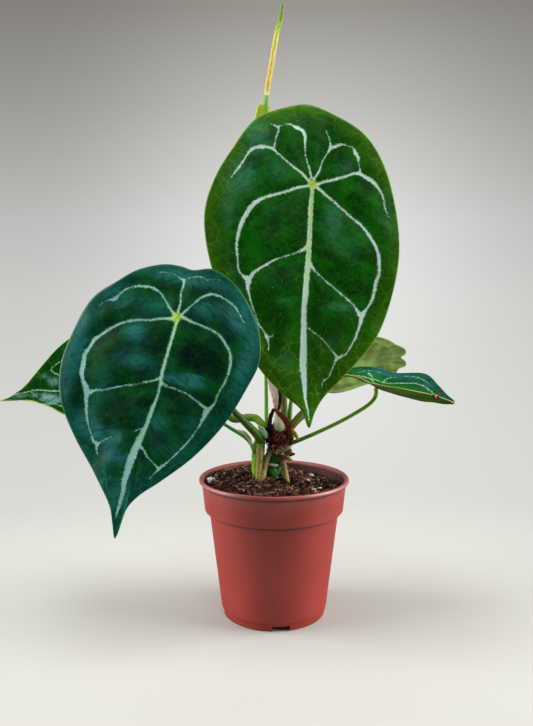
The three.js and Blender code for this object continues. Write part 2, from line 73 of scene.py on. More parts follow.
def colour(name, description, *srgb):
    return FloatVectorProperty(
        name=name, description=description, subtype="COLOR", size=3, min=0, max=1, default=linear(*srgb)
    )


def millimetres(name, description, default):
    return FloatProperty(name=name, description=description, default=default, min=0)


def number(name, description, default):
    return IntProperty(name=name, description=description, default=default, min=0)


def watts(name, description, default):
    return FloatProperty(name=name, description=description, default=default, min=0, unit="POWER")


class PotSettings(bpy.types.PropertyGroup):
    lip_radius: millimetres("Lip radius", "Outer radius of the rolled lip, in millimetres", 60.0)
    height: millimetres("Height", "Height of the pot, in millimetres", 110.0)
    wall: millimetres("Wall", "Thickness of the plastic, in millimetres", 1.3)
    plastic: colour("Plastic", "Colour of the pot", 154, 34, 18)


class SoilSettings(bpy.types.PropertyGroup):
    crumbs: number("Crumbs", "How many loose crumbs lie on the soil", 2400)
    fibres: number("Fibres", "How many peat fibres lie on the soil", 1500)
    grains: number("Grains", "How many white perlite grains show", 26)
    peat: colour("Peat", "Colour of the damp peat", 88, 52, 38)
    perlite: colour("Perlite", "Colour of the perlite grains", 240, 241, 238)


class LeafSettings(bpy.types.PropertyGroup):
    thickness: millimetres("Thickness", "Thickness of a blade, in millimetres", 0.7)
    quilting: millimetres("Quilting", "How far a blade bulges between its veins, in millimetres", 1.4)
    undulation: millimetres("Undulation", "How deep the soft dents of a blade are, in millimetres", 0.8)
    vein_depth: millimetres("Vein depth", "How deep the veins lie in the upper face, in millimetres", 0.35)
    deep: colour("Deep green", "Colour of the upper face", 2, 58, 2)
    olive: colour("Margin green", "Colour of the upper face near the margin", 60, 106, 4)
    vein: colour("Veins", "Colour of the silvery veins", 222, 250, 232)
    hub: colour("Hub", "Colour where the stalk meets the blade", 190, 240, 118)
    under: colour("Lower face", "Colour of the lower face", 118, 152, 74)


class StudioSettings(bpy.types.PropertyGroup):
    floor: colour("Floor", "Colour of the floor", 187, 186, 180)
    side_light: watts("Side lights", "Power of each side softbox", 29)
    window_light: watts("Window", "Power of the cool front light", 0.09)
    flower_light: watts("Flower", "Power of the narrow light on the spike", 0.024)
    top_light: watts("Top light", "Power of the overhead softbox", 6)


# Shader maths


class Wire:
    """A node's output that Python's operators work on; each operation adds a Math node."""

    def __init__(self, sheet, socket):
        self.sheet = sheet
        self.socket = socket

    def __add__(self, other):
        return self.sheet.maths("ADD", self, other)

    def __sub__(self, other):
        return self.sheet.maths("SUBTRACT", self, other)

    def __rsub__(self, other):
        return self.sheet.maths("SUBTRACT", other, self)

    def __mul__(self, other):
        return self.sheet.maths("MULTIPLY", self, other)

    def __truediv__(self, other):
        return self.sheet.maths("DIVIDE", self, other)

    def sibling(self, output):
        """Another output of the same node."""
        return Wire(self.sheet, self.socket.node.outputs[output])

    __radd__ = __add__
    __rmul__ = __mul__


class Sheet:
    """A node tree that new nodes are added to."""

    def __init__(self, tree):
        self.tree = tree

    def node(self, kind, settings=None, inputs=None, output=0):
        """Adds a node of a kind, with its settings first and then its sockets' values or links."""
        made = self.tree.nodes.new(kind)
        for key, value in (settings or {}).items():
            if key == "stops":
                ramp = made.color_ramp
                while len(ramp.elements) < len(value):
                    ramp.elements.new(0.5)
                for element, (place, shade) in zip(ramp.elements, value):
                    element.position = place
                    element.color = (*shade, 1) if len(shade) == 3 else shade
            else:
                setattr(made, key, value)
        for key, value in (inputs or {}).items():
            self.plug(made.inputs[key], value)
        return Wire(self, made.outputs[output])

    def plug(self, socket, value):
        if isinstance(value, Wire):
            self.tree.links.new(value.socket, socket)
        elif socket.type == "RGBA":
            socket.default_value = (*value[:3], 1)
        else:
            socket.default_value = value

    def place(self):
        return self.node("ShaderNodeTexCoord", output="Object")

    def attribute(self, name, output="Fac"):
        return self.node("ShaderNodeAttribute", {"attribute_name": name}, output=output)

    def maths(self, operation, *values):
        return self.node("ShaderNodeMath", {"operation": operation}, dict(enumerate(values)))

    def vector_maths(self, operation, *values, output=0):
        return self.node("ShaderNodeVectorMath", {"operation": operation}, dict(enumerate(values)), output)

    def axes(self, vector, letters):
        """The parts of a vector along the named axes."""
        return [self.node("ShaderNodeSeparateXYZ", inputs={0: vector}, output=letter) for letter in letters]

    def joined(self, x, y):
        return self.node("ShaderNodeCombineXYZ", inputs={"X": x, "Y": y})

    def cells(self, vector, scale, output="Distance"):
        """How far a point is from the edge of its cell in a net of cells."""
        sockets = {"Vector": vector, "Scale": scale}
        return self.node("ShaderNodeTexVoronoi", {"feature": "DISTANCE_TO_EDGE"}, sockets, output)

    def stretched(self, vector, scale):
        return self.node("ShaderNodeMapping", inputs={"Vector": vector, "Scale": scale})

    def noise(self, vector, scale, detail=3.0, roughness=0.55):
        sockets = {"Vector": vector, "Scale": scale, "Detail": detail, "Roughness": roughness}
        return self.node("ShaderNodeTexNoise", inputs=sockets)

    def smooth(self, value, low, high):
        """0 below low, 1 above high, and eased in between; low may be the larger."""
        if low > high:
            return 1 - self.smooth(value, high, low)
        sockets = {"Value": value, "From Min": low, "From Max": high}
        return self.node("ShaderNodeMapRange", {"interpolation_type": "SMOOTHSTEP"}, sockets)

    def mix(self, factor, first, second):
        return self.node("ShaderNodeMix", {"data_type": "RGBA"}, {0: factor, 6: first, 7: second}, output=2)

    def ramp(self, value, *stops):
        return self.node("ShaderNodeValToRGB", {"stops": stops}, {"Fac": value})

    def bump(self, height, distance, strength):
        sockets = {"Height": height, "Distance": distance, "Strength": strength}
        return self.node("ShaderNodeBump", inputs=sockets, output="Normal")


class Finish(Sheet):
    """A procedural material, made of nodes round one Principled shader."""

    def __init__(self, name, **constants):
        self.material = bpy.data.materials.new(name)
        self.material.use_nodes = True
        super().__init__(self.material.node_tree)
        self.tree.nodes.clear()
        self.shader = self.tree.nodes.new("ShaderNodeBsdfPrincipled")
        output = self.tree.nodes.new("ShaderNodeOutputMaterial")
        self.tree.links.new(self.shader.outputs["BSDF"], output.inputs["Surface"])
        for key, value in constants.items():
            self.socket(key).default_value = value

    def socket(self, name):
        return self.shader.inputs[name.replace("_", " ").title().replace("Ior", "IOR")]

    def feed(self, **sockets):
        """Links what varies over the surface to the shader."""
        for name, value in sockets.items():
            self.plug(self.socket(name), value)
        return self.material


# Curves and shared forms


# How many points a smooth curve has between two given ones: as a rule, and round a rim or along a vein
# where a distance is measured from it.
SPAN_POINTS, RIM_POINTS, VEIN_POINTS = 20, 6, 4


def through(points, closed=False, per_span=SPAN_POINTS):
    """Points on a centripetal Catmull-Rom curve through the given points."""
    stops = [Vector((*point, 0)[:3]) for point in points]
    count = len(stops)
    line = []
    for i in range(count if closed else count - 1):
        b, c = stops[i], stops[(i + 1) % count]
        a = stops[i - 1] if closed or i else 2 * b - c
        d = stops[(i + 2) % count] if closed or i + 2 < count else 2 * c - b
        ab, bc, cd = (max((q - p).length, 1e-6) ** 0.5 for p, q in ((a, b), (b, c), (c, d)))
        leave = ((b - a) / ab - (c - a) / (ab + bc) + (c - b) / bc) * bc
        arrive = ((c - b) / bc - (d - b) / (bc + cd) + (d - c) / cd) * bc
        for k in range(per_span):
            t = k / per_span
            cube, square = t**3, t**2
            line.append(
                b * (2 * cube - 3 * square + 1)
                + leave * (cube - 2 * square + t)
                + c * (3 * square - 2 * cube)
                + arrive * (cube - square)
            )
    line.append(stops[0] if closed else stops[-1])
    return np.array(line)


class Route:
    """A smooth curve that is read by the fraction of its length."""

    def __init__(self, points, closed=False):
        self.line = through(points, closed)
        self.reach = np.append(0, np.cumsum(np.linalg.norm(np.diff(self.line, axis=0), axis=1)))
        self.length = self.reach[-1]

    def at(self, fraction):
        spot = min(max(fraction, 0), 1) * self.length
        return Vector([np.interp(spot, self.reach, self.line[:, k]) for k in range(3)])

    def heading(self, fraction):
        return (self.at(fraction + 0.004) - self.at(fraction - 0.004)).normalized()


def along(stops, fraction):
    """A value between evenly spaced stops."""
    return float(np.interp(fraction * (len(stops) - 1), range(len(stops)), stops))


# The way that the broad side of a strip faces, unless another is given.
STRIP_FACING = (0, 1, 0.2)


def layer(kind, name):
    """A layer of the vertices, made when it is first asked for."""
    return kind.get(name) or kind.new(name)


def sweep(bm, points, radii, thin=None, facing=STRIP_FACING, sides=16, steps=48, shade=0.0, shape=None):
    """A stalk, root or strip: a cylinder cut across many times, bent along a curve and tapered to round
    ends. The layer `straight` keeps where each point lay before the bend, and `shade` tints the whole.
    shape gives a factor for the radius from the fraction along and the angle round."""
    route = Route(points)
    straight = layer(bm.verts.layers.float_vector, "straight")
    tint = layer(bm.verts.layers.float, "shade")
    made = bmesh.ops.create_cone(bm, cap_ends=True, segments=sides, radius1=1, radius2=1, depth=1)
    lengthwise = {e for v in made["verts"] for e in v.link_edges if e.verts[0].co.z != e.verts[1].co.z}
    cut = bmesh.ops.subdivide_edges(bm, edges=list(lengthwise), cuts=steps - 1)
    verts = {v for e in cut["geom_split"] if isinstance(e, bmesh.types.BMEdge) for v in e.verts}
    rings = {}
    for vert in verts:
        rings.setdefault(round((vert.co.z + 0.5) * steps), []).append(vert)
    outward = Vector(facing)
    for ring, members in rings.items():
        fraction = (1 - math.cos(math.pi * ring / steps)) / 2
        centre, heading = route.at(fraction), route.heading(fraction)
        across = outward.cross(heading).normalized()
        out = across.cross(heading)
        wide = along(radii, fraction)
        deep = along(thin or radii, fraction)
        end = min(fraction, 1 - fraction) * route.length / max(min(wide, deep), 1e-3)
        dome = math.sqrt(1 - (1 - min(end, 1)) ** 2) if end < 1 else 1
        dome = max(dome, 0.08)
        for vert in members:
            angle = math.atan2(vert.co.y, vert.co.x)
            swell = dome * (shape(fraction, angle) if shape else 1)
            x, y = math.cos(angle) * wide * swell, math.sin(angle) * deep * swell
            vert[straight] = Vector((x, y, fraction * route.length))
            vert[tint] = shade
            vert.co = centre + across * x + out * y
    return verts


def shaded(bm, verts, low, high, first, last):
    """Sets `shade` to run from first to last between two heights."""
    tint = bm.verts.layers.float["shade"]
    for vert in verts:
        share = min(max((vert.co.z - low) / (high - low), 0), 1)
        vert[tint] = first + (last - first) * share


def swept(points, radii, sides, steps, shape=None, shade=0.0, shades=None):
    """A bmesh of one sweep, of one tint or with the heights and tints that `shaded` reads."""
    bm = bmesh.new()
    made = sweep(bm, points, radii, sides=sides, steps=steps, shade=shade, shape=shape)
    if shades:
        shaded(bm, made, *shades)
    return bm


def pebble(bm, centre, size, rough=0.25, shade=0.0, subdivisions=1, seed=0.0):
    """A small irregular lump."""
    tint = layer(bm.verts.layers.float, "shade")
    made = bmesh.ops.create_icosphere(bm, subdivisions=subdivisions, radius=1)
    for vert in made["verts"]:
        spot = vert.co + Vector((seed, 3 * seed, -seed))
        wobble = 1 + rough * (noise.noise(spot * 1.7) + 0.5 * noise.noise(spot * 4.6))
        vert[tint] = shade
        vert.co = Vector(centre) + Vector(vert.co[k] * size[k] * wobble for k in range(3))
    return made["verts"]


def poured(batch, whole):
    """Moves the forms of one bmesh into another."""
    mesh = bpy.data.meshes.new("batch")
    batch.to_mesh(mesh)
    batch.free()
    whole.from_mesh(mesh)
    bpy.data.meshes.remove(mesh)


def heaped(count, add, size=40):
    """A bmesh of many small forms, which add makes one at a time. They are joined in batches, because an
    operator slows down as its mesh grows."""
    whole = bmesh.new()
    for first in range(0, count, size):
        batch = bmesh.new()
        for k in range(first, min(first + size, count)):
            add(batch, k)
        poured(batch, whole)
    return whole


def lathe(bm, profile, steps, closed=False):
    """A profile of radius and height pairs, spun once round the vertical axis."""
    verts = [bm.verts.new((radius, 0, height)) for radius, height in profile]
    pairs = list(zip(verts, verts[1:])) + ([(verts[-1], verts[0])] if closed else [])
    edges = [bm.edges.new(pair) for pair in pairs]
    bmesh.ops.spin(
        bm, geom=verts + edges, cent=(0, 0, 0), axis=(0, 0, 1), angle=2 * math.pi, steps=steps, use_merge=True
    )
    bmesh.ops.remove_doubles(bm, verts=bm.verts, dist=1e-4)
    bmesh.ops.recalc_face_normals(bm, faces=bm.faces)


def finished(name, bm, materials, nodes=(), crisp=None):
    """Makes the mesh an object in metres that rides on the plant's body."""
    bmesh.ops.scale(bm, vec=(MM, MM, MM), verts=bm.verts)
    for face in bm.faces:
        face.smooth = True
    mesh = bpy.data.meshes.new(name)
    bm.to_mesh(mesh)
    bm.free()
    if crisp:
        mesh.set_sharp_from_angle(angle=math.radians(crisp))
    for material in materials:
        mesh.materials.append(material)
    piece = bpy.data.objects.new(name, mesh)
    bpy.context.scene.collection.objects.link(piece)
    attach(piece, "root")
    if nodes:
        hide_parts(*nodes)
    return piece


# The pot

COLLAR_HEIGHT = 25.5
COLLAR_TOP, COLLAR_BOTTOM = 57.6, 55.4
BODY_TOP, BODY_BOTTOM = 51.6, 42.4
FOOT_RADIUS, FOOT_HEIGHT = 41.4, 6.0
LIP_HEIGHT = 3.0
FLOOR_THICKNESS = 1.4
CHANNELS, CHANNEL_WIDTH, CHANNEL_HEIGHT, CHANNEL_START, CHANNEL_ROOF = 4, 13.6, 4.0, 16.0, 1.2
CHANNEL_TURN = -83
DRAIN_RADIUS, DRAIN_PLACE = 4, 30
ROOF_INSET = 0.3
POT_STEPS = 144
CRISP_ANGLE = 32


def pot_profile(height, lip, wall):
    """The pot's section: up the outside, over the lip and down the inside."""
    ledge = height - COLLAR_HEIGHT
    return [
        (0, 0), (FOOT_RADIUS - 1.3, 0), (FOOT_RADIUS - 0.4, 0.4), (FOOT_RADIUS - 0.1, 1.4),
        (FOOT_RADIUS, FOOT_HEIGHT - 0.6), (FOOT_RADIUS + 0.2, FOOT_HEIGHT - 0.1),
        (BODY_BOTTOM, FOOT_HEIGHT + 0.5),
        (BODY_TOP, ledge - 2), (BODY_TOP + 0.3, ledge - 1), (BODY_TOP + 1, ledge - 0.4),
        (COLLAR_BOTTOM - 0.8, ledge - 0.1), (COLLAR_BOTTOM - 0.1, ledge + 0.4),
        (COLLAR_BOTTOM + 0.1, ledge + 1.4),
        (COLLAR_TOP, height - LIP_HEIGHT - 0.7), (COLLAR_TOP + 0.35, height - LIP_HEIGHT - 0.15),
        (lip - 0.9, height - LIP_HEIGHT), (lip - 0.25, height - LIP_HEIGHT + 0.5),
        (lip - 0.05, height - LIP_HEIGHT + 1.4), (lip - 0.2, height - 0.9), (lip - 0.7, height - 0.25),
        (lip - 1.4, height), (lip - 2.2, height - 0.2), (COLLAR_TOP - wall, height - 1.6),
        (COLLAR_BOTTOM - wall, ledge + 2), (COLLAR_BOTTOM - wall - 0.8, ledge + 0.9),
        (BODY_TOP - wall, ledge - 0.6), (BODY_BOTTOM - wall, FOOT_HEIGHT), (FOOT_RADIUS - wall, 3),
        (FOOT_RADIUS - wall - 1.4, FLOOR_THICKNESS),
        (0, FLOOR_THICKNESS),
    ]  # fmt: skip


def block(bm, length, width, height, centre, turn):
    """A box round a centre, then turned round the vertical axis."""
    made = bmesh.ops.create_cube(bm, size=1)
    sized = Matrix.Translation(centre) @ Matrix.Diagonal((length, width, height, 1))
    bmesh.ops.transform(bm, matrix=Matrix.Rotation(turn, 4, "Z") @ sized, verts=made["verts"])


def helper(name, bm):
    """An object for a Boolean, not yet in the scene."""
    mesh = bpy.data.meshes.new(name)
    bm.to_mesh(mesh)
    bm.free()
    return bpy.data.objects.new(name, mesh)


def combined(base, other, operation):
    """The base mesh after a Boolean with another object, which is then removed."""
    scene = bpy.context.scene
    for thing in (base, other):
        scene.collection.objects.link(thing)
    cut = base.modifiers.new("cut", "BOOLEAN")
    cut.object, cut.operation, cut.solver, cut.use_self = other, operation, "EXACT", True
    mesh = bpy.data.meshes.new_from_object(base.evaluated_get(bpy.context.evaluated_depsgraph_get()))
    for thing in (base, other):
        bpy.data.meshes.remove(thing.data)
    return mesh


# Painted shadows under the collar and under the lip, and painted shade on the inner wall that shows
# above the soil, as heights in metres at which each starts, is full, is still full and ends.
LEDGE_SHADOWS = [(0.0812, 0.0836, 0.0846, 0.085), (0.1044, 0.106, 0.107, 0.1074)]
INNER_WALL = (0.0845, 0.0855, 0.1085, 0.1115)
HALF_WALL = 0.65


def plastic_finish(base):
    plastic = Finish("terracotta_plastic", specular_ior_level=1.0)
    place = plastic.place()
    (height,) = plastic.axes(place, "Z")
    cloud = plastic.noise(place, 35, 4)
    smear = plastic.noise(plastic.stretched(place, (60, 60, 400)), 1, 3)
    speck = plastic.smooth(plastic.noise(place, 420, 2), 0.7, 0.76)
    ledge_shadows = sum(
        plastic.smooth(height, start, full) * plastic.smooth(height, end, still)
        for start, full, still, end in LEDGE_SHADOWS
    )
    # Paler towards the lip.
    paler_lip = plastic.smooth(height + cloud * 0.02, 0.1, 0.122)
    shade = plastic.mix(plastic.smooth(cloud, 0.3, 0.7), toned(base, 0.9), base)
    shade = plastic.mix(plastic.smooth(smear, 0.55, 0.8) * 0.35, shade, toned(base, 1.25))
    shade = plastic.mix(paler_lip * 0.25, shade, linear(196, 122, 110))
    shade = plastic.mix(speck * 0.6, shade, linear(66, 34, 26))
    flat = plastic.vector_maths("MULTIPLY", place, (1, 1, 0))
    radius = plastic.vector_maths("LENGTH", flat, output="Value")
    start, full, still, end = INNER_WALL
    slope = (COLLAR_TOP - COLLAR_BOTTOM) / COLLAR_HEIGHT
    middle = (height - start) * slope + (COLLAR_BOTTOM - HALF_WALL) * MM
    # Painted shade on the inner wall that shows above the soil.
    inside = plastic.smooth(middle - radius, -0.0003, 0.0003) * plastic.smooth(height, start, full)
    inside = inside * plastic.smooth(height + cloud * 0.004, end, still)
    # Painted shadow: dark lines under the collar and under the lip.
    shade = plastic.mix(ledge_shadows * 0.7, shade, linear(46, 12, 8))
    # The painted shade of the inner wall.
    shade = plastic.mix(inside * 0.92, shade, linear(76, 6, 6))
    grain = plastic.noise(place, 1400, 2) + plastic.noise(plastic.stretched(place, (90, 90, 900)), 1, 2) * 0.8
    rough = 0.37 + cloud * 0.14 + inside * 0.4
    return plastic.feed(base_color=shade, roughness=rough, normal=plastic.bump(grain, 0.00012, 0.6))


def build_pot(settings):
    lip, height, wall = settings.lip_radius, settings.height, settings.wall
    reach = BODY_BOTTOM - wall
    top = CHANNEL_HEIGHT + CHANNEL_ROOF
    start = CHANNEL_START - wall
    shell, roofs, channels = bmesh.new(), bmesh.new(), bmesh.new()
    lathe(shell, pot_profile(height, lip, wall), POT_STEPS)
    for k in range(CHANNELS):
        turn = math.radians(CHANNEL_TURN + 360 / CHANNELS * k)
        middle = (reach + start) / 2 - ROOF_INSET
        width = CHANNEL_WIDTH + 2 * wall
        length, tall = reach - start - 2 * ROOF_INSET, top - 2 * ROOF_INSET
        block(roofs, length, width, tall, (middle, 0, top / 2 + ROOF_INSET), turn)
        block(channels, lip, CHANNEL_WIDTH, 2 * CHANNEL_HEIGHT, (CHANNEL_START + lip / 2, 0, 0), turn)
        drain = bmesh.ops.create_cone(
            channels, cap_ends=True, segments=32, radius1=DRAIN_RADIUS, radius2=DRAIN_RADIUS, depth=3 * top
        )
        place = Matrix.Rotation(turn, 4, "Z") @ Matrix.Translation((DRAIN_PLACE, 0, top))
        bmesh.ops.transform(channels, matrix=place, verts=drain["verts"])
    roofed = combined(helper("shell", shell), helper("roofs", roofs), "UNION")
    cut = combined(bpy.data.objects.new("roofed", roofed), helper("channels", channels), "DIFFERENCE")
    bm = bmesh.new()
    bm.from_mesh(cut)
    bpy.data.meshes.remove(cut)
    plastic = plastic_finish(settings.plastic[:])
    finished("nursery_pot", bm, [plastic], ["pot"], crisp=CRISP_ANGLE)


# The soil

SOIL_LEVEL = 103.5
SOIL_SEED = 11
SOIL_EDGE = COLLAR_TOP - 2.2
SOIL_RINGS, SOIL_STEPS = 56, 190
# The soil's section below its top, inside the pot.
SOIL_SIDE = [(0, 6), (BODY_BOTTOM - 2.4, 6), (BODY_TOP - 2, 84), (COLLAR_BOTTOM - 2.2, 87)]
# The perlite grains that show most: across, depth and radius.
SEEN_GRAINS = [
    (-50, -8, 3), (-40.6, -27, 1.3), (-33, -27.6, 1.1), (16.3, -14.7, 1.4), (27.2, -2.8, 1.4),
    (30.4, -21.5, 1.7), (35.7, -12, 1.8), (32.3, 33.4, 1.8), (53, -8, 1.2), (-19.7, 21, 1),
]  # fmt: skip


# The mound round the stem and the dip behind it: how high, how wide and where.
MOUND = (10, 26, -14, 4)
DIP = (-4.5, 17, 42, 32)


def swelling(x, y, height, radius, middle_x, middle_y):
    return height * math.exp(-((x - middle_x) ** 2 + (y - middle_y) ** 2) / (2 * radius**2))


def soil_top(x, y):
    lumps = 0.7 * (math.sin(0.31 * x + 1) * math.sin(0.27 * y) + math.sin(0.19 * (x + y)))
    return SOIL_LEVEL + swelling(x, y, *MOUND) + lumps + swelling(x, y, *DIP)


def crumbled(x, y):
    """The soil's height with its clods and crumbs."""
    spot = Vector((x, y, 0))
    clods = noise.turbulence(spot * 0.13, 3, False) * 3.4
    crumbs = noise.turbulence(spot * 0.42 + Vector((7, 3, 0)), 3, True) * 2.6
    return soil_top(x, y) + clods + crumbs - 2


def soil_finish(name, peat):
    soil = Finish(name, roughness=0.95, specular_ior_level=0.3)
    place = soil.place()
    cloud = soil.noise(place, 160, 5, 0.65)
    fine = soil.noise(place, 900, 4, 0.7)
    tint = soil.attribute("shade")
    shade = soil.ramp(
        soil.smooth(cloud * 0.6 + fine * 0.4 + tint * 0.4, 0.25, 0.85),
        (0.0, toned(peat, 0.05)), (0.35, toned(peat, 0.35)),
        (0.62, peat), (0.85, linear(150, 102, 78)), (1.0, linear(190, 144, 114)),
    )  # fmt: skip
    return soil.feed(base_color=shade, normal=soil.bump(fine + cloud, 0.0006, 0.9))


def perlite_finish(white):
    perlite = Finish("perlite", roughness=0.8)
    pits = perlite.noise(perlite.place(), 1500, 3)
    shade = perlite.mix(perlite.smooth(pits, 0.35, 0.6), toned(white, 0.75), white)
    return perlite.feed(base_color=shade, normal=perlite.bump(pits, 0.0003, 0.8))


def scattered(rng, reach):
    """A place on the soil, and its height."""
    angle, radius = rng.uniform(0, 2 * math.pi), reach * math.sqrt(rng.random())
    x, y = radius * math.cos(angle), radius * math.sin(angle)
    return x, y, crumbled(x, y)


def build_soil(settings):
    rng = random.Random(SOIL_SEED)
    peat = settings.peat[:]
    bed = bmesh.new()
    top = [(SOIL_EDGE * ring / SOIL_RINGS, SOIL_LEVEL) for ring in range(SOIL_RINGS, -1, -1)]
    lathe(bed, SOIL_SIDE + top, SOIL_STEPS)
    for vert in bed.verts:
        if vert.co.z > SOIL_LEVEL - 0.01:
            vert.co.z = crumbled(vert.co.x, vert.co.y)
    finished("soil_bed", bed, [soil_finish("potting_soil", peat)], ["soil"])

    def crumb(bm, _):
        x, y, z = scattered(rng, SOIL_EDGE - 1.5)
        size = rng.uniform(0.4, 1.2) * (2 if rng.random() < 0.12 else 1)
        radii = [size * rng.uniform(0.7, 1.3), size * rng.uniform(0.7, 1.3), size * rng.uniform(0.5, 0.9)]
        pebble(bm, (x, y, z + 0.2 * size), radii, 0.7, rng.uniform(-0.6, 0.6), seed=rng.uniform(0, 50))

    def fibre(bm, _):
        x, y, z = scattered(rng, SOIL_EDGE - 4)
        turn, length = rng.uniform(0, 2 * math.pi), rng.uniform(2, 8)
        lean, bow = rng.uniform(-0.1, 0.45), rng.uniform(-0.3, 0.3)
        step = Vector((math.cos(turn), math.sin(turn), lean)) * length / 2
        side = Vector((-math.sin(turn), math.cos(turn), 0)) * bow * length
        first = Vector((x, y, z + 0.1))
        last = first + 2 * step - Vector((0, 0, 0.3 * length * max(lean, 0)))
        radius = rng.uniform(0.1, 0.34)
        radii = [radius, radius, 0.4 * radius]
        sweep(bm, [first, first + step + side, last], radii, sides=4, steps=5, shade=rng.uniform(-0.4, 1.3))

    def grain(bm, k):
        if k < len(SEEN_GRAINS):
            x, y, size = SEEN_GRAINS[k]
            z = crumbled(x, y)
        else:
            x, y, z = scattered(rng, SOIL_EDGE - 4)
            size = rng.uniform(0.4, 0.9)
        radii = (size, size * rng.uniform(0.7, 1), size * rng.uniform(0.7, 1))
        pebble(bm, (x, y, z + 0.7 * size), radii, 0.6, 0, 2, seed=rng.uniform(0, 50))

    crumbs, fibres = heaped(settings.crumbs, crumb), heaped(settings.fibres, fibre)
    grains = heaped(settings.grains, grain)
    finished("soil_crumbs", crumbs, [soil_finish("soil_crumb", peat)])
    finished("soil_fibres", fibres, [soil_finish("peat_fibre", peat)])
    finished("perlite_grains", grains, [perlite_finish(settings.perlite[:])])


# The blades

MIDRIB_SOFTNESS = 3.0
SIDE_VEIN_SLOPE = 0.55
# How far round its veins a blade is divided once more, how far from a vein it bulges in full, and how
# far from the margin the bulges and the dents start to fade.
VEIN_REACH = 1.6
QUILT_WIDTH, QUILT_MARGIN, DENT_MARGIN = 7, 8, 10
NO_VEIN = -10.0

# Each vein is a line of points in the blade's own plane with its width there, from the hub outwards.
LARGE_VEINS = [
    [(0, -2, 3.4), (-1, -18, 3.7), (-2, -47, 4.1), (-4, -80, 4.7), (-5, -94, 4.2), (-5, -109, 4.8),
     (-5, -126, 5.6), (-5, -138, 5.5), (-4, -147, 4.3), (-3, -160, 2.7), (-1, -169, 1.6), (0, -176, 0.7)],
    [(-3, -1, 2.4), (-11, -3, 2.4), (-22, -7, 2.2), (-32, -10, 2.5), (-39, -13, 3), (-45, -18, 3.3),
     (-50, -26, 3.7), (-53, -33, 3.1), (-55, -41, 2.7), (-56, -48, 2.2), (-55, -57, 1.5), (-54, -66, 1.5),
     (-51, -70, 1.8), (-47, -73, 4.8), (-47, -78, 3.1), (-46, -84, 1.8), (-44, -91, 1.1), (-41, -99, 1),
     (-38, -107, 1), (-34, -112, 1.6), (-32, -115, 2.8), (-31, -120, 1.5), (-31, -125, 0.7)],
    [(-33, -114, 2.2), (-30, -115, 1.3), (-28, -114, 0.5)],
    [(-3, -47, 3.7), (-7, -50, 2.4), (-12, -52, 1.4), (-20, -55, 1.2), (-28, -58, 1.5), (-36, -63, 2.1),
     (-42, -67, 2.5), (-46, -72, 3.7)],
    [(-2, 2, 2.6), (-9, 9, 2.1), (-15, 13, 1.7), (-21, 18, 1.5), (-26, 22, 1.3), (-29, 25, 2.1),
     (-34, 27, 2.7), (-40, 27, 3), (-46, 25, 2.6), (-49, 21, 1.6), (-53, 14, 1.8), (-57, 8, 1.8),
     (-61, 2, 0.6)], [(-29, 27, 1.5), (-28, 34, 0.9), (-26, 41, 1.4), (-29, 44, 1.2), (-32, 45, 0.5)],
    [(-1, 5, 2.2), (-3, 14, 1.4), (-5, 20, 1), (-6, 28, 1.1), (-6, 33, 2.1), (-6, 37, 2.6), (-8, 41, 3),
     (-13, 43, 2.9), (-17, 45, 1.3), (-21, 45, 0.9), (-26, 43, 1.4)],
    [(1, 4, 2.7), (5, 10, 1.5), (7, 17, 0.9), (11, 24, 1), (13, 28, 2.4), (13, 33, 1.1), (12, 37, 0.7),
     (10, 41, 0.9)],
    [(13, 28, 2.7), (18, 30, 2.7), (22, 31, 1.5), (26, 30, 0.9), (30, 28, 1.2), (32, 24, 3), (34, 20, 2.4),
     (34, 17, 1), (35, 12, 1), (35, 8, 2.2)],
    [(3, 0, 2.5), (9, 2, 2.2), (17, 4, 2.3), (24, 6, 2.4), (30, 8, 2.5), (35, 8, 3.1), (40, 5, 3),
     (46, 1, 3.3), (50, -4, 2.2), (53, -10, 1.6), (54, -16, 1.5), (57, -24, 0.7)],
    [(2, -1, 2.5), (9, -7, 2), (17, -14, 1.8), (24, -20, 1.9), (31, -26, 2), (36, -30, 2.4),
     (41, -36, 2.4), (46, -44, 2.4), (49, -51, 2.7), (50, -59, 3), (50, -68, 2.3), (48, -73, 3.1),
     (47, -80, 2.8), (45, -87, 2.4), (42, -92, 1.6), (38, -98, 4.4), (37, -103, 2.8), (35, -109, 2.2),
     (33, -115, 2.1), (30, -121, 1.6), (26, -127, 1.3), (20, -130, 3.1), (18, -134, 1.5), (16, -139, 1),
     (14, -144, 0.9), (10, -147, 1.1), (9, -152, 0.6)],
    [(-1, -60, 3.7), (1, -63, 2.1), (8, -70, 1.1), (15, -76, 1.1), (21, -81, 1.5), (27, -86, 1.5),
     (32, -91, 1.6), (36, -97, 3.3)],
    [(-3, -107, 1.2), (4, -112, 0.8), (10, -117, 0.9), (15, -123, 1), (20, -129, 2.4)],
]  # fmt: skip
LARGE_THREADS = [
    [(-32, -110), (-27, -103), (-22, -98), (-14, -95), (-7, -94)],
    [(-8, -143), (-14, -145), (-18, -147), (-24, -141)], [(-2, -138), (5, -141), (10, -147)],
    [(-46, 25), (-47, 31), (-42, 39), (-36, 43)], [(-20, 45), (-19, 54)], [(38, 23), (44, 19), (51, 13)],
    [(-58, 6), (-64, -2), (-69, -13), (-70, -25)], [(47, -73), (55, -68), (61, -58)],
    [(-1, -87), (10, -88), (20, -90), (27, -87)],
]  # fmt: skip
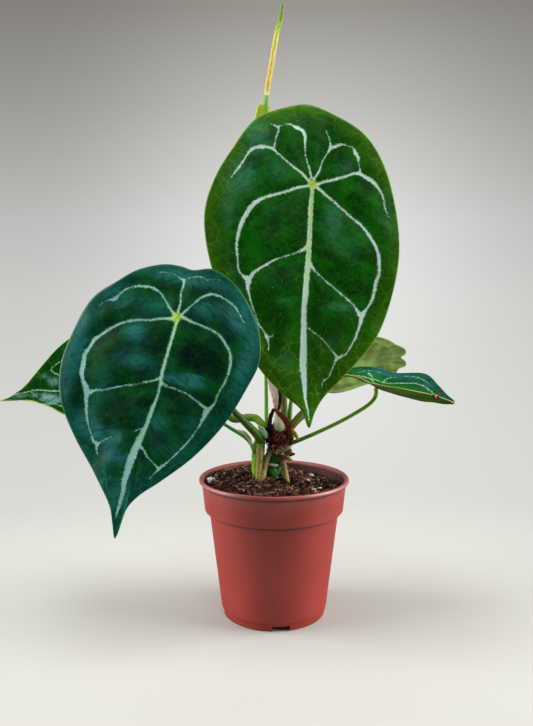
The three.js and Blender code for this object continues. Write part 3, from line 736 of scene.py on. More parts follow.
BROAD_VEINS = [
    [(1, -1, 3.2), (1, -10, 2.8), (1, -22, 2.6), (1, -41, 2.9), (2, -50, 2.4), (2, -59, 2.3),
     (1, -66, 3.1), (0, -79, 3.3), (-1, -85, 4.4), (-2, -91, 5.1), (-3, -97, 5.4), (-4, -105, 5.5),
     (-4, -112, 5.1), (-4, -119, 4.1), (-3, -126, 3.4), (-3, -133, 2.7), (-3, -140, 1.8), (-3, -144, 0.7)],
    [(-2, -1, 3.2), (-10, -3, 2.1), (-18, -6, 1.7), (-27, -8, 1.8), (-34, -11, 2.1), (-39, -14, 2.4),
     (-45, -19, 2.1), (-50, -24, 2.4), (-54, -29, 2.9), (-56, -35, 2.7), (-58, -41, 3.3), (-57, -47, 3.8),
     (-56, -54, 3.4), (-53, -59, 3), (-48, -66, 4.9), (-47, -72, 3), (-44, -81, 2.3), (-41, -88, 1.5),
     (-37, -94, 1.3), (-34, -98, 2.1), (-31, -100, 3.1), (-30, -104, 1.4), (-28, -107, 0.6)],
    [(-31, -100, 2.2), (-27, -96, 1), (-22, -92, 0.5)],
    [(1, -44, 2.9), (-2, -46, 1.7), (-8, -49, 1.2), (-14, -52, 1), (-22, -55, 1.1), (-29, -58, 1.2),
     (-37, -62, 1.4), (-43, -64, 2.3), (-47, -67, 3.5)],
    [(-2, 2, 3), (-8, 7, 1.6), (-12, 11, 1.3), (-17, 15, 1.6), (-22, 17, 2.1), (-28, 17, 2),
     (-33, 16, 2.1), (-38, 14, 1.6), (-43, 10, 1.4), (-45, 6, 1.7), (-47, 3, 3.2), (-51, 1, 1.2),
     (-54, -1, 0.9), (-57, -5, 0.4)],
    [(0, 4, 2.8), (0, 11, 1.6), (-2, 18, 1.4), (-2, 23, 1.6), (-3, 28, 2.4), (-6, 29, 1.1), (-11, 31, 0.7),
     (-16, 31, 0.5), (-24, 30, 0.4)],
    [(-3, 28, 2.3), (0, 30, 0.9), (4, 32, 1.1), (7, 33, 1), (11, 33, 0.6), (14, 32, 0.5), (18, 34, 0.4),
     (24, 34, 0.4)],
    [(3, 3, 2.8), (7, 9, 1.6), (10, 14, 1.3), (14, 19, 1.8), (18, 22, 2.3), (23, 23, 1.7), (28, 22, 1.7),
     (34, 20, 1.7), (38, 18, 1.6), (42, 14, 1.4), (45, 11, 1.1), (48, 8, 0.5)],
    [(3, 2, 3.2), (11, 0, 2.3), (18, -1, 1.8), (25, -2, 1.8), (32, -4, 2), (37, -8, 2), (42, -13, 2.1),
     (45, -19, 2.4), (46, -24, 2.2), (46, -31, 1.7), (45, -37, 1.6), (43, -44, 1.4), (42, -52, 1.5),
     (38, -58, 4.2), (37, -65, 2), (35, -72, 1.2), (32, -80, 1.2), (28, -88, 1.4), (25, -93, 1.2),
     (22, -98, 1), (17, -104, 2.5), (15, -108, 1), (12, -113, 0.6)],
    [(2, -47, 3.1), (5, -48, 1.8), (15, -49, 1.3), (22, -50, 1.3), (29, -53, 1.4), (34, -55, 2.1),
     (38, -57, 3.5)], [(-1, -93, 3.5), (3, -95, 1.7), (6, -98, 1), (11, -101, 0.9), (16, -104, 1.9)],
    [(-1, -81, 2.1), (-4, -82, 0.8), (-7, -84, 0.4)],
]  # fmt: skip
BROAD_THREADS = [
    [(-47, 3), (-44, -1), (-42, -5), (-38, -9)], [(-7, -84), (-15, -87), (-22, -92)],
    [(10, 33), (15, 27), (18, 23)],
]  # fmt: skip

SIDE_VEINS = [
    [(0, -2, 3), (-1, -30, 2.6), (-1, -60, 2.2), (-3, -101, 1.5), (-5, -121, 1.3), (-4, -133, 1.1),
     (-2, -144, 0.9), (1, -152, 0.6)],
    [(-2, -1, 2.6), (-20, -8, 2), (-38, -25, 2), (-45, -45, 2), (-44, -70, 1.7), (-38, -90, 1.3),
     (-29, -105, 1), (-22, -112, 1.2), (-17, -104, 0.9), (-10, -98, 0.8), (-3, -92, 0.8)],
    [(2, -1, 2.6), (20, -8, 2), (36, -30, 2), (40, -55, 1.7), (32, -78, 1.3), (22, -92, 1),
     (14, -104, 0.8), (6, -116, 0.6)], [(-4, -127, 0.5), (-3, -125, 0.8), (1, -121, 0.9), (2, -118, 0.5)],
    [(-1, -66, 1.2), (-16, -72, 1), (-30, -82, 1), (-38, -90, 1)],
    [(-1, -50, 1.2), (16, -58, 1), (34, -74, 1)],
    [(-1, 3, 2.2), (-14, 14, 1.6), (-28, 12, 1.4), (-38, 2, 1)],
    [(1, 3, 2.2), (14, 14, 1.6), (28, 12, 1.4), (37, 2, 1)],
]  # fmt: skip
CURVED_VEINS = [
    [(0, -1, 1.8), (6, 11, 1.3), (5, 20, 1), (2, 29, 0.7)],
    [(5, 29, 1), (5, 12, 1.3), (9, 1, 1.4), (11, -3, 1.4), (17, -11, 1.4), (20, -19, 1.5), (19, -27, 1.4),
     (15, -36, 1.2), (11, -42, 1), (7, -49, 0.8), (2, -57, 0.4)],
    [(11, -1, 1.3), (19, -1, 1), (26, -6, 0.9), (29, -11, 0.8), (29, -18, 1.2), (26, -25, 0.9),
     (20, -34, 0.7)], [(14, 14, 2), (11.5, 11, 1.8), (9, 8, 1.2)],
    [(10, 22, 0.8), (16, 18, 0.8), (20, 12, 0.7), (24, 4, 0.7)],
    [(-2, -1, 1.6), (-14, -6, 1.2), (-22, -18, 1.1), (-20, -32, 1), (-12, -44, 0.7)],
    [(-2, 2, 1.5), (-12, 10, 1.2), (-20, 12, 1), (-26, 4, 0.8)],
]  # fmt: skip

# Painted sheen on the blades: across, along, half-widths and strength. A negative strength paints shade.
LARGE_GLINTS = [
    (15, -30, 7, 15, 0.7), (27, -48, 9, 9, 0.4), (24, -92, 12, 3, 0.8), (-20, -88, 12, 4, 0.35),
    (-42, 34, 9, 13, 0.9), (-52, 4, 9, 13, 0.8), (-62, -22, 6, 16, 0.5), (24, 12, 8, 5, 0.6),
    (56, -20, 5, 20, 0.35), (-26, 8, 9, 9, 0.4), (14, 48, 26, 9, -0.4), (16, -118, 10, 6, 0.3),
    (-20, -132, 10, 8, 0.35),
]  # fmt: skip
BROAD_GLINTS = [
    (-26, -16, 8, 9, 0.9), (-18, -36, 16, 7, 0.6), (20, -42, 15, 4, 0.9), (14, -30, 12, 5, 0.4),
    (-30, -92, 16, 6, 1.1), (-44, -84, 7, 8, 0.8), (-14, -104, 12, 5, 0.8), (4, -74, 12, 7, 0.5),
    (-64, -40, 7, 30, 0.7), (-48, 6, 14, 10, 0.6), (0, 30, 34, 6, 0.6), (44, 12, 10, 14, 0.8),
    (56, -22, 7, 26, 0.7), (20, 10, 12, 8, 0.6), (-16, 4, 14, 8, 0.5), (22, -90, 14, 8, 0.35),
    (-4, -128, 9, 12, 0.7), (-40, -60, 8, 16, 0.4), (30, -70, 8, 8, 0.35), (22, -24, 12, 9, -1.6),
    (12, -43, 8, 1.5, 1.2), (24, -37, 8, 2, 1.1), (40, -30, 8, 12, -0.5),
]  # fmt: skip
SIDE_GLINTS = [
    (-16, -117, 2.5, 3, 0.6), (-11, -106, 3.5, 4, 1), (-13, -112, 3, 3, 0.35), (6, -106, 5, 6, 1.3),
    (16, -96, 7, 7, 1.1), (-0.5, -122, 2.5, 3, 0.8), (21, -99, 3, 5, 0.7), (-1, -137, 2.5, 9, 0.6),
    (1, -113, 4, 4, 0.8), (-20, -60, 12, 20, 0.5), (24, -40, 12, 20, 0.6),
]  # fmt: skip
CURVED_GLINTS = [
    (26, 2, 7, 14, 0.9), (14, 14, 5, 10, 0.7), (30, -20, 4, 12, 0.8), (20, -33, 5, 8, 1),
    (12, -50, 6, 6, 0.7), (22, -20, 3, 4, 0.4),
]  # fmt: skip


def symmetric(*half):
    """An outline from its right half, given from the tip to the top."""
    return [half[0], *((-x, y) for x, y in half[1:]), *half[-2:0:-1]]


# The leaves as the frame has them: a hub, a point that the tip hangs towards, the way the upper face
# looks and the outline in the blade's plane, from the tip up the left side. `top` is the number of the
# uppermost point, fold and bend shape the blade, cells is how finely it is divided, and scar is a tear.
LEAVES = {
    "leaf_1": {
        "hub": (28.4, -18, 337.4), "towards": (25.6, -44, 157.2), "face": (0.03, -1, 0.1),
        "outline": [
            (0, -182), (-6, -169), (-20, -157), (-38, -138), (-62, -95), (-76, -58), (-80, -25), (-73, 1),
            (-61, 24), (-44, 48), (-22, 58), (-3, 62), (18, 54), (38, 39), (55, 10), (64, -30), (63, -68),
            (51, -110), (30, -138), (10, -160), (4, -171),
        ],
        "top": 11, "fold": (0.06, 0.06), "bend": (-4, -4), "wave": 1.6, "ripples": 7, "cells": 112,
    },
    "leaf_2": {
        "hub": (-69.6, -58, 239), "towards": (-110, -90, 89.7), "face": (-0.12, -1, 0.1),
        "outline": [
            (0, -158), (-4, -149), (-9, -138), (-25, -121), (-48, -99), (-66, -74), (-73, -50), (-72, -28),
            (-64, -1), (-50, 15), (-38, 28), (-21, 37), (-8, 38), (1, 37), (14, 41), (30, 36), (44, 25),
            (58, 7), (65, -16), (61, -37), (52, -64), (37, -92), (20, -113), (8, -126), (2, -137),
        ],
        "top": 13, "fold": (-0.05, -0.05), "bend": (-3, -5), "wave": 1.8, "ripples": 6, "cells": 104,
    },
    "leaf_3": {
        "hub": (-83.4, 18, 179.2), "towards": (-232, 42, 172), "face": (-0.05, -0.6, 0.8),
        "outline": [
            (2, -155), (0, -148), (-3.5, -142), (-7, -136), (-12, -131), (-25, -122), (-40, -111),
            (-50, -98), (-57, -70), (-56, -30), (-44, 4), (-22, 24), (0, 28), (22, 24), (43, 4), (54, -28),
            (52, -55), (42, -76), (28, -94), (17, -109), (7, -122), (3, -132), (2.5, -141),
        ],
        "top": 12, "fold": (0.45, 0.45), "bend": (-8, -4), "wave": 1.4, "ripples": 5, "cells": 80,
    },
    "leaf_4": {
        "hub": (82.5, 8, 182), "towards": (138.3, -20.5, 148.7), "face": (0, -0.04, 1),
        "outline": [
            (0, -60.4), (-4, -58.6), (-10.1, -51.2), (-19.9, -38.9), (-33, -20.5), (-31, 0), (-25, 20),
            (-15, 32), (0, 35), (15, 32), (25, 20), (32, 0), (34, -20.5), (20.6, -38.9), (10.4, -51.2),
            (4, -58.6),
        ],
        "top": 8, "fold": (0.29, 0.95), "bend": (21, -12), "wave": 1, "ripples": 4, "cells": 72,
        "scar": [
            [(17.5, -45.6, 1.4), (13.5, -44.5, 2.2), (11, -44, 2.6), (8.5, -43.6, 3.8), (6, -43, 3.4)],
            [(-15.6, -45.4, 1.4), (-12.6, -46.9, 3.2), (-9.6, -47.4, 2.4)],
        ],
    },
    "leaf_5": {
        "hub": (68, 70, 191), "towards": (122, 92, 198), "face": (0.1, 0.8, 0.6),
        "outline": [
            (0, -56), (-5, -50.5), (-7.5, -54.5), (-13, -53), (-20, -42), (-27, -32), (-31.5, -21),
            (-35, -6), (-30, 14), (-16, 25), (0, 27), (16, 25), (30, 14), (34, -8), (29, -32), (15, -50),
            (8, -51), (5, -57),
        ],
        "top": 10, "fold": (0.1, 0.1), "bend": (-5, -4), "wave": 1.5, "ripples": 4, "cells": 48,
    },
    "leaf_6": {
        "hub": (36, 42, 262), "towards": (45, 108, 215), "face": (0.1, 0.6, 0.8),
        "outline": symmetric((0, -66), (10, -54), (24, -32), (28, -8), (22, 12), (10, 21), (0, 22)),
        "top": 6, "fold": (0.12, 0.12), "bend": (-5, -3), "wave": 1, "ripples": 4, "cells": 48,
    },
    "leaf_7": {
        "hub": (-30, 36, 228), "towards": (-25, 112, 190), "face": (-0.1, 0.45, 0.9),
        "outline": symmetric((0, -66), (9, -54), (22, -32), (26, -8), (21, 12), (10, 20), (0, 21)),
        "top": 6, "fold": (0.12, 0.12), "bend": (-5, -3), "wave": 1, "ripples": 4, "cells": 48,
    },
    "spathe": {
        "hub": (-8.9, 7.8, 398.4), "towards": (-12.5, 13, 368), "face": (-0.3, 1, 0.2),
        "outline": [
            (0, -33), (-3.4, -24), (-5.6, -12), (-5.8, -2), (-5, 3.2), (0, 4.2), (4, 3), (5, -2),
            (5.2, -12), (3.4, -24),
        ],
        "top": 5, "fold": (-0.25, -0.25), "bend": (4, 0), "wave": 0, "ripples": 1, "cells": 24,
    },
}  # fmt: skip


def blade_frame(leaf):
    """The place of the blade's own plane: x across, y up the midrib, z out of the upper face."""
    hub = Vector(leaf["hub"])
    up = (hub - Vector(leaf["towards"])).normalized()
    right = up.cross(Vector(leaf["face"])).normalized()
    front = right.cross(up)
    return Matrix((right, up, front)).transposed().to_4x4(), hub


def spread(leaf, square):
    """Spreads points of the square from -1 to 1 over the outline, with the midrib on its diagonal."""
    rim = Route(leaf["outline"], closed=True)
    top = rim.reach[SPAN_POINTS * leaf["top"]] / rim.length
    i, j = square[:, 0], square[:, 1]
    ring = np.maximum(np.abs(i), np.abs(j))
    side = 8 * np.maximum(ring, 1e-9)
    tiny = 1e-6
    around = np.select(
        [ring < tiny, i < -ring + tiny, j > ring - tiny, i > ring - tiny],
        [0 * ring, (j + ring) / side, 0.25 + (i + ring) / side, 0.5 + (ring - j) / side],
        0.75 + (ring - i) / side,
    )
    share = np.where(around < 0.5, around * 2 * top, top + (around * 2 - 1) * (1 - top))
    spot = np.clip(share, 0, 1) * rim.length
    edge = np.stack([np.interp(spot, rim.reach, rim.line[:, k]) for k in range(2)], 1)
    middle = np.array([0, leaf["outline"][0][1] / 3])
    return (edge - middle) * ring[:, None] + middle, ring, around


def depth_in(flat, lines):
    """How deep each point lies inside the nearest of some lines, each of points with a width; it is
    negative outside them."""
    best = np.full(len(flat), -1e3)
    for line in lines:
        path = through([(x, y, width / 2) for x, y, width in line], per_span=VEIN_POINTS)
        for a, b in zip(path, path[1:]):
            run = (b - a)[:2]
            share = np.clip((flat - a[:2]) @ run / max(run @ run, 1e-9), 0, 1)
            gap = np.linalg.norm(flat - a[:2] - share[:, None] * run, axis=1)
            best = np.maximum(best, a[2] + share * (b[2] - a[2]) - gap)
    return best


def blade_height(leaf, flat, ring, around):
    """How far the blade's middle surface stands in front of its plane."""
    x, y = flat[:, 0], flat[:, 1]
    tip, top = leaf["outline"][0][1], leaf["outline"][leaf["top"]][1]
    slope = leaf["fold"][0] + (leaf["fold"][1] - leaf["fold"][0]) * np.maximum(y / tip, 0)
    fold = slope * (np.hypot(x, MIDRIB_SOFTNESS) - MIDRIB_SOFTNESS)
    bend = np.where(y < 0, leaf["bend"][0] * (y / tip) ** 2, leaf["bend"][1] * (y / top) ** 2)
    sway = leaf["wave"] * ring**3 * np.sin(2 * math.pi * leaf["ripples"] * around)
    return fold + bend + sway


def undulation(x, y):
    """The soft dents of a blade, drawn out along its side veins."""
    slant = y + SIDE_VEIN_SLOPE * abs(x)
    return noise.noise(Vector((x / 17, y / 17, 3))) + 0.35 * noise.noise(Vector((slant / 7, x / 40, 9)))


def fitted(lines, outline, model):
    """Veins of one leaf stretched to the outline of another."""
    def reach(points):
        xs, ys = zip(*points)
        return max(abs(x) for x in xs), max(ys), -min(ys)

    wide, up, down = (b / a for a, b in zip(reach(model), reach(outline)))
    scale = (wide + down) / 2
    return [
        [(x * wide, y * (up if y > 0 else down), *(w * scale**0.7 for w in rest)) for x, y, *rest in line]
        for line in lines
    ]


def blade_grid(leaf, veins):
    """A grid that fills the outline and is finer along the veins, with where each of its points lies in
    the plane, how far out it is and how far round."""
    cells = leaf["cells"]
    bm = bmesh.new()
    bmesh.ops.create_grid(bm, x_segments=cells, y_segments=cells, size=1)
    flat, ring, around = spread(leaf, np.array([v.co for v in bm.verts])[:, :2])
    out, turn = (bm.verts.layers.float.new(key) for key in ("ring", "around"))
    for vert, place, rho, share in zip(bm.verts, flat, ring, around):
        vert.co = (*place, 0)
        vert[out], vert[turn] = rho, share
    seam = {v for v in bm.verts if v[turn] < 1e-6 or v[turn] > 1 - 1e-6}
    if veins:
        near = depth_in(flat, veins) > -VEIN_REACH
        bm.verts.index_update()
        close = [e for e in bm.edges if all(near[v.index] for v in e.verts) and not seam & set(e.verts)]
        bmesh.ops.subdivide_edges(bm, edges=close, cuts=1, use_grid_fill=True)
    flat = np.array([v.co for v in bm.verts])[:, :2]
    ring, around = (np.array([v[key] for v in bm.verts]) for key in (out, turn))
    return bm, flat, ring, around


def blade_measures(leaf, flat, veins, threads, glints):
    """What the relief and the colours read at each point: how deep it lies in a vein, a thread or a
    tear, how far from the margin, and how strong the painted sheen is, which paints shade where negative."""
    rim = [(*point[:2], 0) for point in through(leaf["outline"], closed=True, per_span=RIM_POINTS)]
    margin = -depth_in(flat, [rim]) if veins is not None else flat[:, 0] * 0
    bare = np.full(len(flat), NO_VEIN)
    vein = depth_in(flat, veins) if veins else bare
    thread = depth_in(flat, [[(x, y, 0) for x, y in line] for line in threads]) if threads else bare
    glint = np.zeros(len(flat))
    for x, y, wide, long, strength in glints:
        glint += strength * np.exp(-(((flat[:, 0] - x) / wide) ** 2) - ((flat[:, 1] - y) / long) ** 2)
    scar = depth_in(flat, leaf["scar"]) if "scar" in leaf else vein
    return {"vein": vein, "thread": thread, "margin": margin, "glint": glint, "scar": scar}


def build_blade(name, leaf, veins, threads, glints, settings, materials):
    """One blade: a grid raised to its relief, moved to its hub and thickened."""
    bm, flat, ring, around = blade_grid(leaf, veins)
    measures = blade_measures(leaf, flat, veins, threads, glints)
    vein, margin = measures["vein"], measures["margin"]
    bulge = 1 - np.exp(-((np.minimum(vein, 0) / QUILT_WIDTH) ** 2))
    dents = np.array([undulation(x, y) for x, y in flat])
    rise = blade_height(leaf, flat, ring, around)
    rise += settings.quilting * bulge * np.clip(margin / QUILT_MARGIN, 0, 1)
    rise -= settings.vein_depth * np.clip((vein + 0.4) / 1.2, 0, 1)
    rise += np.clip(margin / DENT_MARGIN, 0, 1) * dents * settings.undulation
    for key, values in measures.items():
        measure = bm.verts.layers.float.new(key)
        for vert, value in zip(bm.verts, values):
            vert[measure] = value
    uv = bm.loops.layers.uv.new("leaf")
    for face in bm.faces:
        for loop in face.loops:
            loop[uv].uv = loop.vert.co.xy / 100
    for vert, z in zip(bm.verts, rise):
        vert.co.z = z
    facing, hub = blade_frame(leaf)
    bmesh.ops.transform(bm, matrix=Matrix.Translation(hub) @ facing, verts=bm.verts)
    node = name if name == "spathe" else name + "_blade"
    piece = finished(node + "_fine", bm, materials, [node])
    wall = piece.modifiers.new("thickness", "SOLIDIFY")
    wall.thickness, wall.offset = settings.thickness * MM, 0
    wall.material_offset, wall.material_offset_rim = 1, 0
    wall.use_quality_normals = True


def torn(leaf, shade, ragged):
    """A dry tear across a blade: brown at its edges and pale in the middle."""
    scar = leaf.attribute("scar") + ragged
    shade = leaf.mix(leaf.smooth(scar, -0.3, 0.1), shade, linear(84, 34, 24))
    return leaf.mix(leaf.smooth(scar, 0.7, 1.2), shade, linear(206, 168, 156))


def upper_face(name, tones, specks=0.0, near=None, edge=linear(130, 150, 70), scarred=False, gloss=0.1):
    """The velvety upper face: dark green with a painted soft sheen and patches of painted shade, feathered
    silvery veins, a net of paler threads and a few pale specks. tones are the deep, lively, margin, painted
    sheen, vein and hub colours, near is the colour of the half that is nearer the viewer, and edge that
    of the outermost rim."""
    deep, lively, rim, sheen, pale, lime = tones
    leaf = Finish(name, specular_ior_level=gloss)
    flat = leaf.node("ShaderNodeUVMap", {"uv_map": "leaf"})
    vein, thread, margin, glint = (leaf.attribute(key) for key in ("vein", "thread", "margin", "glint"))
    x, y = leaf.axes(flat, "XY")
    hub = leaf.vector_maths("LENGTH", flat, output="Value") * 100
    slant = y + leaf.maths("ABSOLUTE", x) * SIDE_VEIN_SLOPE
    streak = leaf.noise(leaf.joined(slant * 9, x * 1.6), 1, 2.5, 0.5)
    wide, cloud = leaf.noise(flat, 2.3, 2), leaf.noise(flat, 6, 3)
    fine = leaf.noise(flat, 30, 4, 0.65)
    teeth = (leaf.noise(flat, 80, 3, 0.8) - 0.5) * 4.6 + (leaf.noise(flat, 30, 2) - 0.5) * 1.4
    silver = leaf.smooth(vein + teeth, -0.1, 0.55)

    bend = leaf.node("ShaderNodeTexNoise", inputs={"Vector": flat, "Scale": 11.0}, output="Color")
    warped = leaf.vector_maths("ADD", flat, leaf.vector_maths("MULTIPLY", bend, (0.09, 0.09, 0.09)))
    net, mesh = (leaf.cells(warped, scale) for scale in (9.0, 30.0))
    old = leaf.smooth(y + cloud * 0.3, -0.75, -1.3)
    outer = leaf.smooth(margin + wide * 22, 30, 10)
    lines = leaf.smooth(net, 0.045, 0.0) * (0.2 + outer * 0.7 + old * 0.7)
    lines = lines + leaf.smooth(mesh, 0.07, 0.0) * 0.2
    lines = lines + leaf.smooth(thread + teeth * 0.12, -0.7, -0.1) * 0.8

    shade = leaf.mix(leaf.smooth(cloud * 0.5 + streak * 0.3 + fine * 0.2, 0.42, 0.6), deep, lively)
    shade = leaf.mix(outer * (0.5 + leaf.smooth(cloud * 0.4 + fine * 0.6, 0.42, 0.58) * 0.45), shade, rim)
    shade = leaf.mix(old * 0.35, shade, toned(rim, 1.2))
    if near:
        shade = leaf.mix(leaf.smooth(x + cloud * 0.04, 0.21, 0.13) * leaf.smooth(y, -0.5, -0.42), shade, near)
    # Painted sheen: the sheen colour where the glint is strong, with thin painted sheen lines along the
    # ripples.
    ripple = leaf.noise(leaf.joined(slant * 34, x * 13), 1, 5, 0.6)
    crease_sheen = leaf.smooth(leaf.maths("ABSOLUTE", ripple - 0.5), 0.05, 0.0)
    painted_sheen = leaf.smooth(glint, 0.0, 1.0) * (0.45 + leaf.smooth(streak * 0.2 + ripple * 0.8, 0.4, 0.62) * 0.55)
    painted_sheen = painted_sheen + crease_sheen * (leaf.smooth(glint, 0.0, 0.5) * 0.3 + 0.02)
    shade = leaf.mix(painted_sheen * 0.64, shade, sheen)
    # Painted shade: darker green where the glint is negative.
    shade = leaf.mix(leaf.smooth(glint, 0.0, -0.8) * 0.85, shade, toned(deep, 0.3))
    shade = leaf.mix(lines * 0.5, shade, toned(rim, 2, 0.02))
    shade = leaf.mix(leaf.smooth(vein, -2.2, 0.1) * 0.3, shade, toned(lively, 1.4))
    fleck = leaf.smooth(leaf.noise(flat, 140, 2), 0.35, 0.6)
    shade = leaf.mix(silver, shade, leaf.mix(fleck, toned(pale, 0.72), pale))
    core = leaf.smooth(vein + teeth * 0.05, 0.75, 1.2) * leaf.smooth(hub, 110, 50)
    core = core * leaf.smooth(x * x, 0.003, 0.0015)
    core = core + leaf.smooth(vein, 0.5, 1) * leaf.smooth(hub, 34, 8) * 0.7
    shade = leaf.mix(core * 0.8, shade, lime)
    ripe = tuple(c * k for c, k in zip(lime, (1, 0.85, 0.4)))
    shade = leaf.mix(leaf.smooth(hub + teeth * 0.5, 4.6, 1.8) * 0.9, shade, ripe)
    dots = leaf.node("ShaderNodeTexVoronoi", inputs={"Vector": flat, "Scale": 14.0})
    chosen = leaf.node("ShaderNodeSeparateColor", inputs={0: dots.sibling("Color")})
    dust = leaf.smooth(dots, 0.05, 0.02) * leaf.smooth(chosen, 0.8, 0.85) * specks
    shade = leaf.mix(dust, shade, linear(150, 190, 160))
    fringe = leaf.smooth(margin, 0.6, 0.15) * 0.7
    if near:
        fringe = fringe * leaf.smooth(x, 0.06, 0.0)
    shade = leaf.mix(fringe, shade, edge)
    if scarred:
        shade = torn(leaf, shade, teeth * 0.2)

    relief = leaf.smooth(net, 0.0, 0.3) * 0.35 + leaf.smooth(mesh, 0.0, 0.35) * 0.2
    relief = relief + fine * 0.3 + silver * 0.15 + streak * 0.9
    rough = 0.3 + fine * 0.16 + silver * 0.25
    return leaf.feed(base_color=shade, roughness=rough, normal=leaf.bump(relief, 0.0004, 0.4))


def lower_face(name, green, veined=1.0, gloss=0.2, scarred=False):
    """The dull, paler lower face with its raised veins."""
    leaf = Finish(name, roughness=0.62, specular_ior_level=gloss)
    flat = leaf.node("ShaderNodeUVMap", {"uv_map": "leaf"})
    vein, thread = (leaf.attribute(key) for key in ("vein", "thread"))
    cloud = leaf.noise(flat, 4, 4)
    fine = leaf.noise(flat, 40, 3)
    drawn = leaf.noise(leaf.stretched(flat, (9, 2.5, 1)), 1, 3)
    shade = leaf.mix(leaf.smooth(cloud * 0.4 + drawn * 0.6, 0.42, 0.58), toned(green, 0.5), green)
    pale = toned(green, 1.5)
    shade = leaf.mix(leaf.smooth(vein + fine * 0.6, -1.2, 0.5) * 0.6 * veined, shade, pale)
    shade = leaf.mix(leaf.smooth(thread, -0.7, -0.1) * 0.3 * veined, shade, pale)
    if scarred:
        shade = torn(leaf, shade, fine - 0.5)
    relief = fine * 0.4 + leaf.smooth(vein, -0.8, 0.6) * veined
    return leaf.feed(base_color=shade, normal=leaf.bump(relief, 0.0004, 0.5))


def young_face(name, green, pale):
    """The smooth yellow-green of the spathe and of young sheaths."""
    young = Finish(name, roughness=0.5)
    place = young.place()
    cloud = young.noise(place, 120, 4)
    fibre = young.noise(young.stretched(place, (900, 900, 60)), 1, 3)
    shade = young.mix(young.smooth(cloud, 0.35, 0.65), green, pale)
    shade = young.mix(young.smooth(fibre, 0.5, 0.75) * 0.35, shade, toned(green, 0.6))
    return young.feed(base_color=shade, normal=young.bump(fibre, 0.0002, 0.5))


# The deep, lively, margin, painted sheen and vein colours of the upper faces that have their own.
FACE_TONES = {
    # The blue row's teal margin is partly the leaf's own blue-green and partly a painted bluish reflection.
    "blue": [(1, 38, 16), (2, 76, 18), (2, 74, 58), (50, 136, 136), (158, 216, 204)],
    "side": [(1, 40, 2), (3, 60, 2), (6, 54, 4), (116, 156, 150), (140, 184, 150)],
    "curved": [(1, 56, 22), (2, 74, 22), (4, 66, 48), (32, 106, 106), (150, 190, 150)],
}


def build_blades(settings):
    under = lower_face("leaf_lower_face", settings.under[:])
    deep, rim, pale, lime = (getattr(settings, key)[:] for key in ("deep", "olive", "vein", "hub"))
    tones = {key: (*(linear(*tone) for tone in row), lime) for key, row in FACE_TONES.items()}
    plain = (deep, linear(5, 96, 2), rim, linear(70, 142, 108), pale, lime)
    tall = upper_face("leaf_upper_face", plain, specks=1.0)
    teal = upper_face("leaf_upper_face_blue", tones["blue"], specks=0.4, edge=linear(70, 110, 60))
    side = upper_face("leaf_upper_face_side", tones["side"], edge=linear(150, 176, 70), gloss=0.0)
    curved = upper_face(
        "leaf_upper_face_curved", tones["curved"], near=linear(18, 92, 12), edge=linear(200, 196, 120),
        scarred=True, gloss=0.03,
    )  # fmt: skip
    olive = lower_face("leaf_lower_face_olive", linear(84, 124, 16), 0.4, gloss=0.05, scarred=True)
    young = lower_face("leaf_lower_face_young", linear(138, 174, 84), 0.15)
    for name, veins, threads, glints, faces in (
        ("leaf_1", LARGE_VEINS, LARGE_THREADS, LARGE_GLINTS, [tall, under]),
        ("leaf_2", BROAD_VEINS, BROAD_THREADS, BROAD_GLINTS, [teal, under]),
        ("leaf_3", SIDE_VEINS, [], SIDE_GLINTS, [side, under]),
        ("leaf_4", CURVED_VEINS, [], CURVED_GLINTS, [curved, olive]),
    ):
        build_blade(name, LEAVES[name], veins, threads, glints, settings, faces)
    for name, veins, threads, model, below in (
        ("leaf_5", BROAD_VEINS, BROAD_THREADS, "leaf_2", young),
        ("leaf_6", LARGE_VEINS, LARGE_THREADS, "leaf_1", under),
        ("leaf_7", BROAD_VEINS, BROAD_THREADS, "leaf_2", under),
    ):
        outline, shape = LEAVES[name]["outline"], LEAVES[model]["outline"]
        own = fitted(veins, outline, shape)
        build_blade(name, LEAVES[name], own, fitted(threads, outline, shape), [], settings, [tall, below])


# The stalks

# Points along each stalk from the crown outwards, and its radii from foot to head.
LEAF_STALKS = {
    "leaf_1": (
        [(7.6, 3, 145), (8, 3, 162), (7.7, 3, 174), (10, 5, 215), (17, 4, 270), (24, -2, 316)],
        [3.2, 2.7, 2.2, 2, 1.9, 1.9, 2.2],
    ),
    "leaf_2": (
        [(-9.6, -5, 138), (-13, -9, 145), (-22.5, -15, 156.4), (-32.8, -22, 168.6), (-50, -33, 197),
         (-63, -46, 226)],
        [3.8, 3, 2.3, 1.9, 1.8, 1.8, 2.1],
    ),
    "leaf_3": (
        [(-15, -6.5, 122), (-15.6, -8, 131), (-18.2, -8, 138), (-22.8, -7, 143), (-36.7, -1, 150.7),
         (-60, 9, 164)],
        [1.9, 1.5, 1.4, 1.3, 1.3, 1.3, 1.6],
    ),
    "leaf_4": (
        [(8, -2, 136), (13.5, -2, 137.5), (35, 0, 146), (61, 3, 158.4), (78.4, 6, 169.4), (82, 7, 175)],
        [1.8, 1.6, 1.5, 1.5, 1.5, 1.7],
    ),
    "leaf_5": (
        [(10.5, 3, 144), (17, 4, 153.5), (23.2, 9, 158.8), (40, 32, 171), (58, 58, 183)],
        [2.6, 3.6, 1.8, 1.4, 1.3, 1.6],
    ),
    "leaf_6": (
        [(11, 5, 148), (12.1, 5, 154), (13.7, 7, 169), (22, 22, 212), (31, 34, 246)],
        [2, 1.6, 1.4, 1.3, 1.3, 1.5],
    ),
    "leaf_7": (
        [(-4, 2, 148), (-9.6, 2, 152.2), (-14.4, 4, 156.3), (-21, 5, 157), (-34, 8, 155.5), (-43, 14, 170),
         (-40, 26, 204)],
        [2.8, 3.2, 2.8, 1.8, 1.4, 1.3, 1.3, 1.5],
    ),
}  # fmt: skip


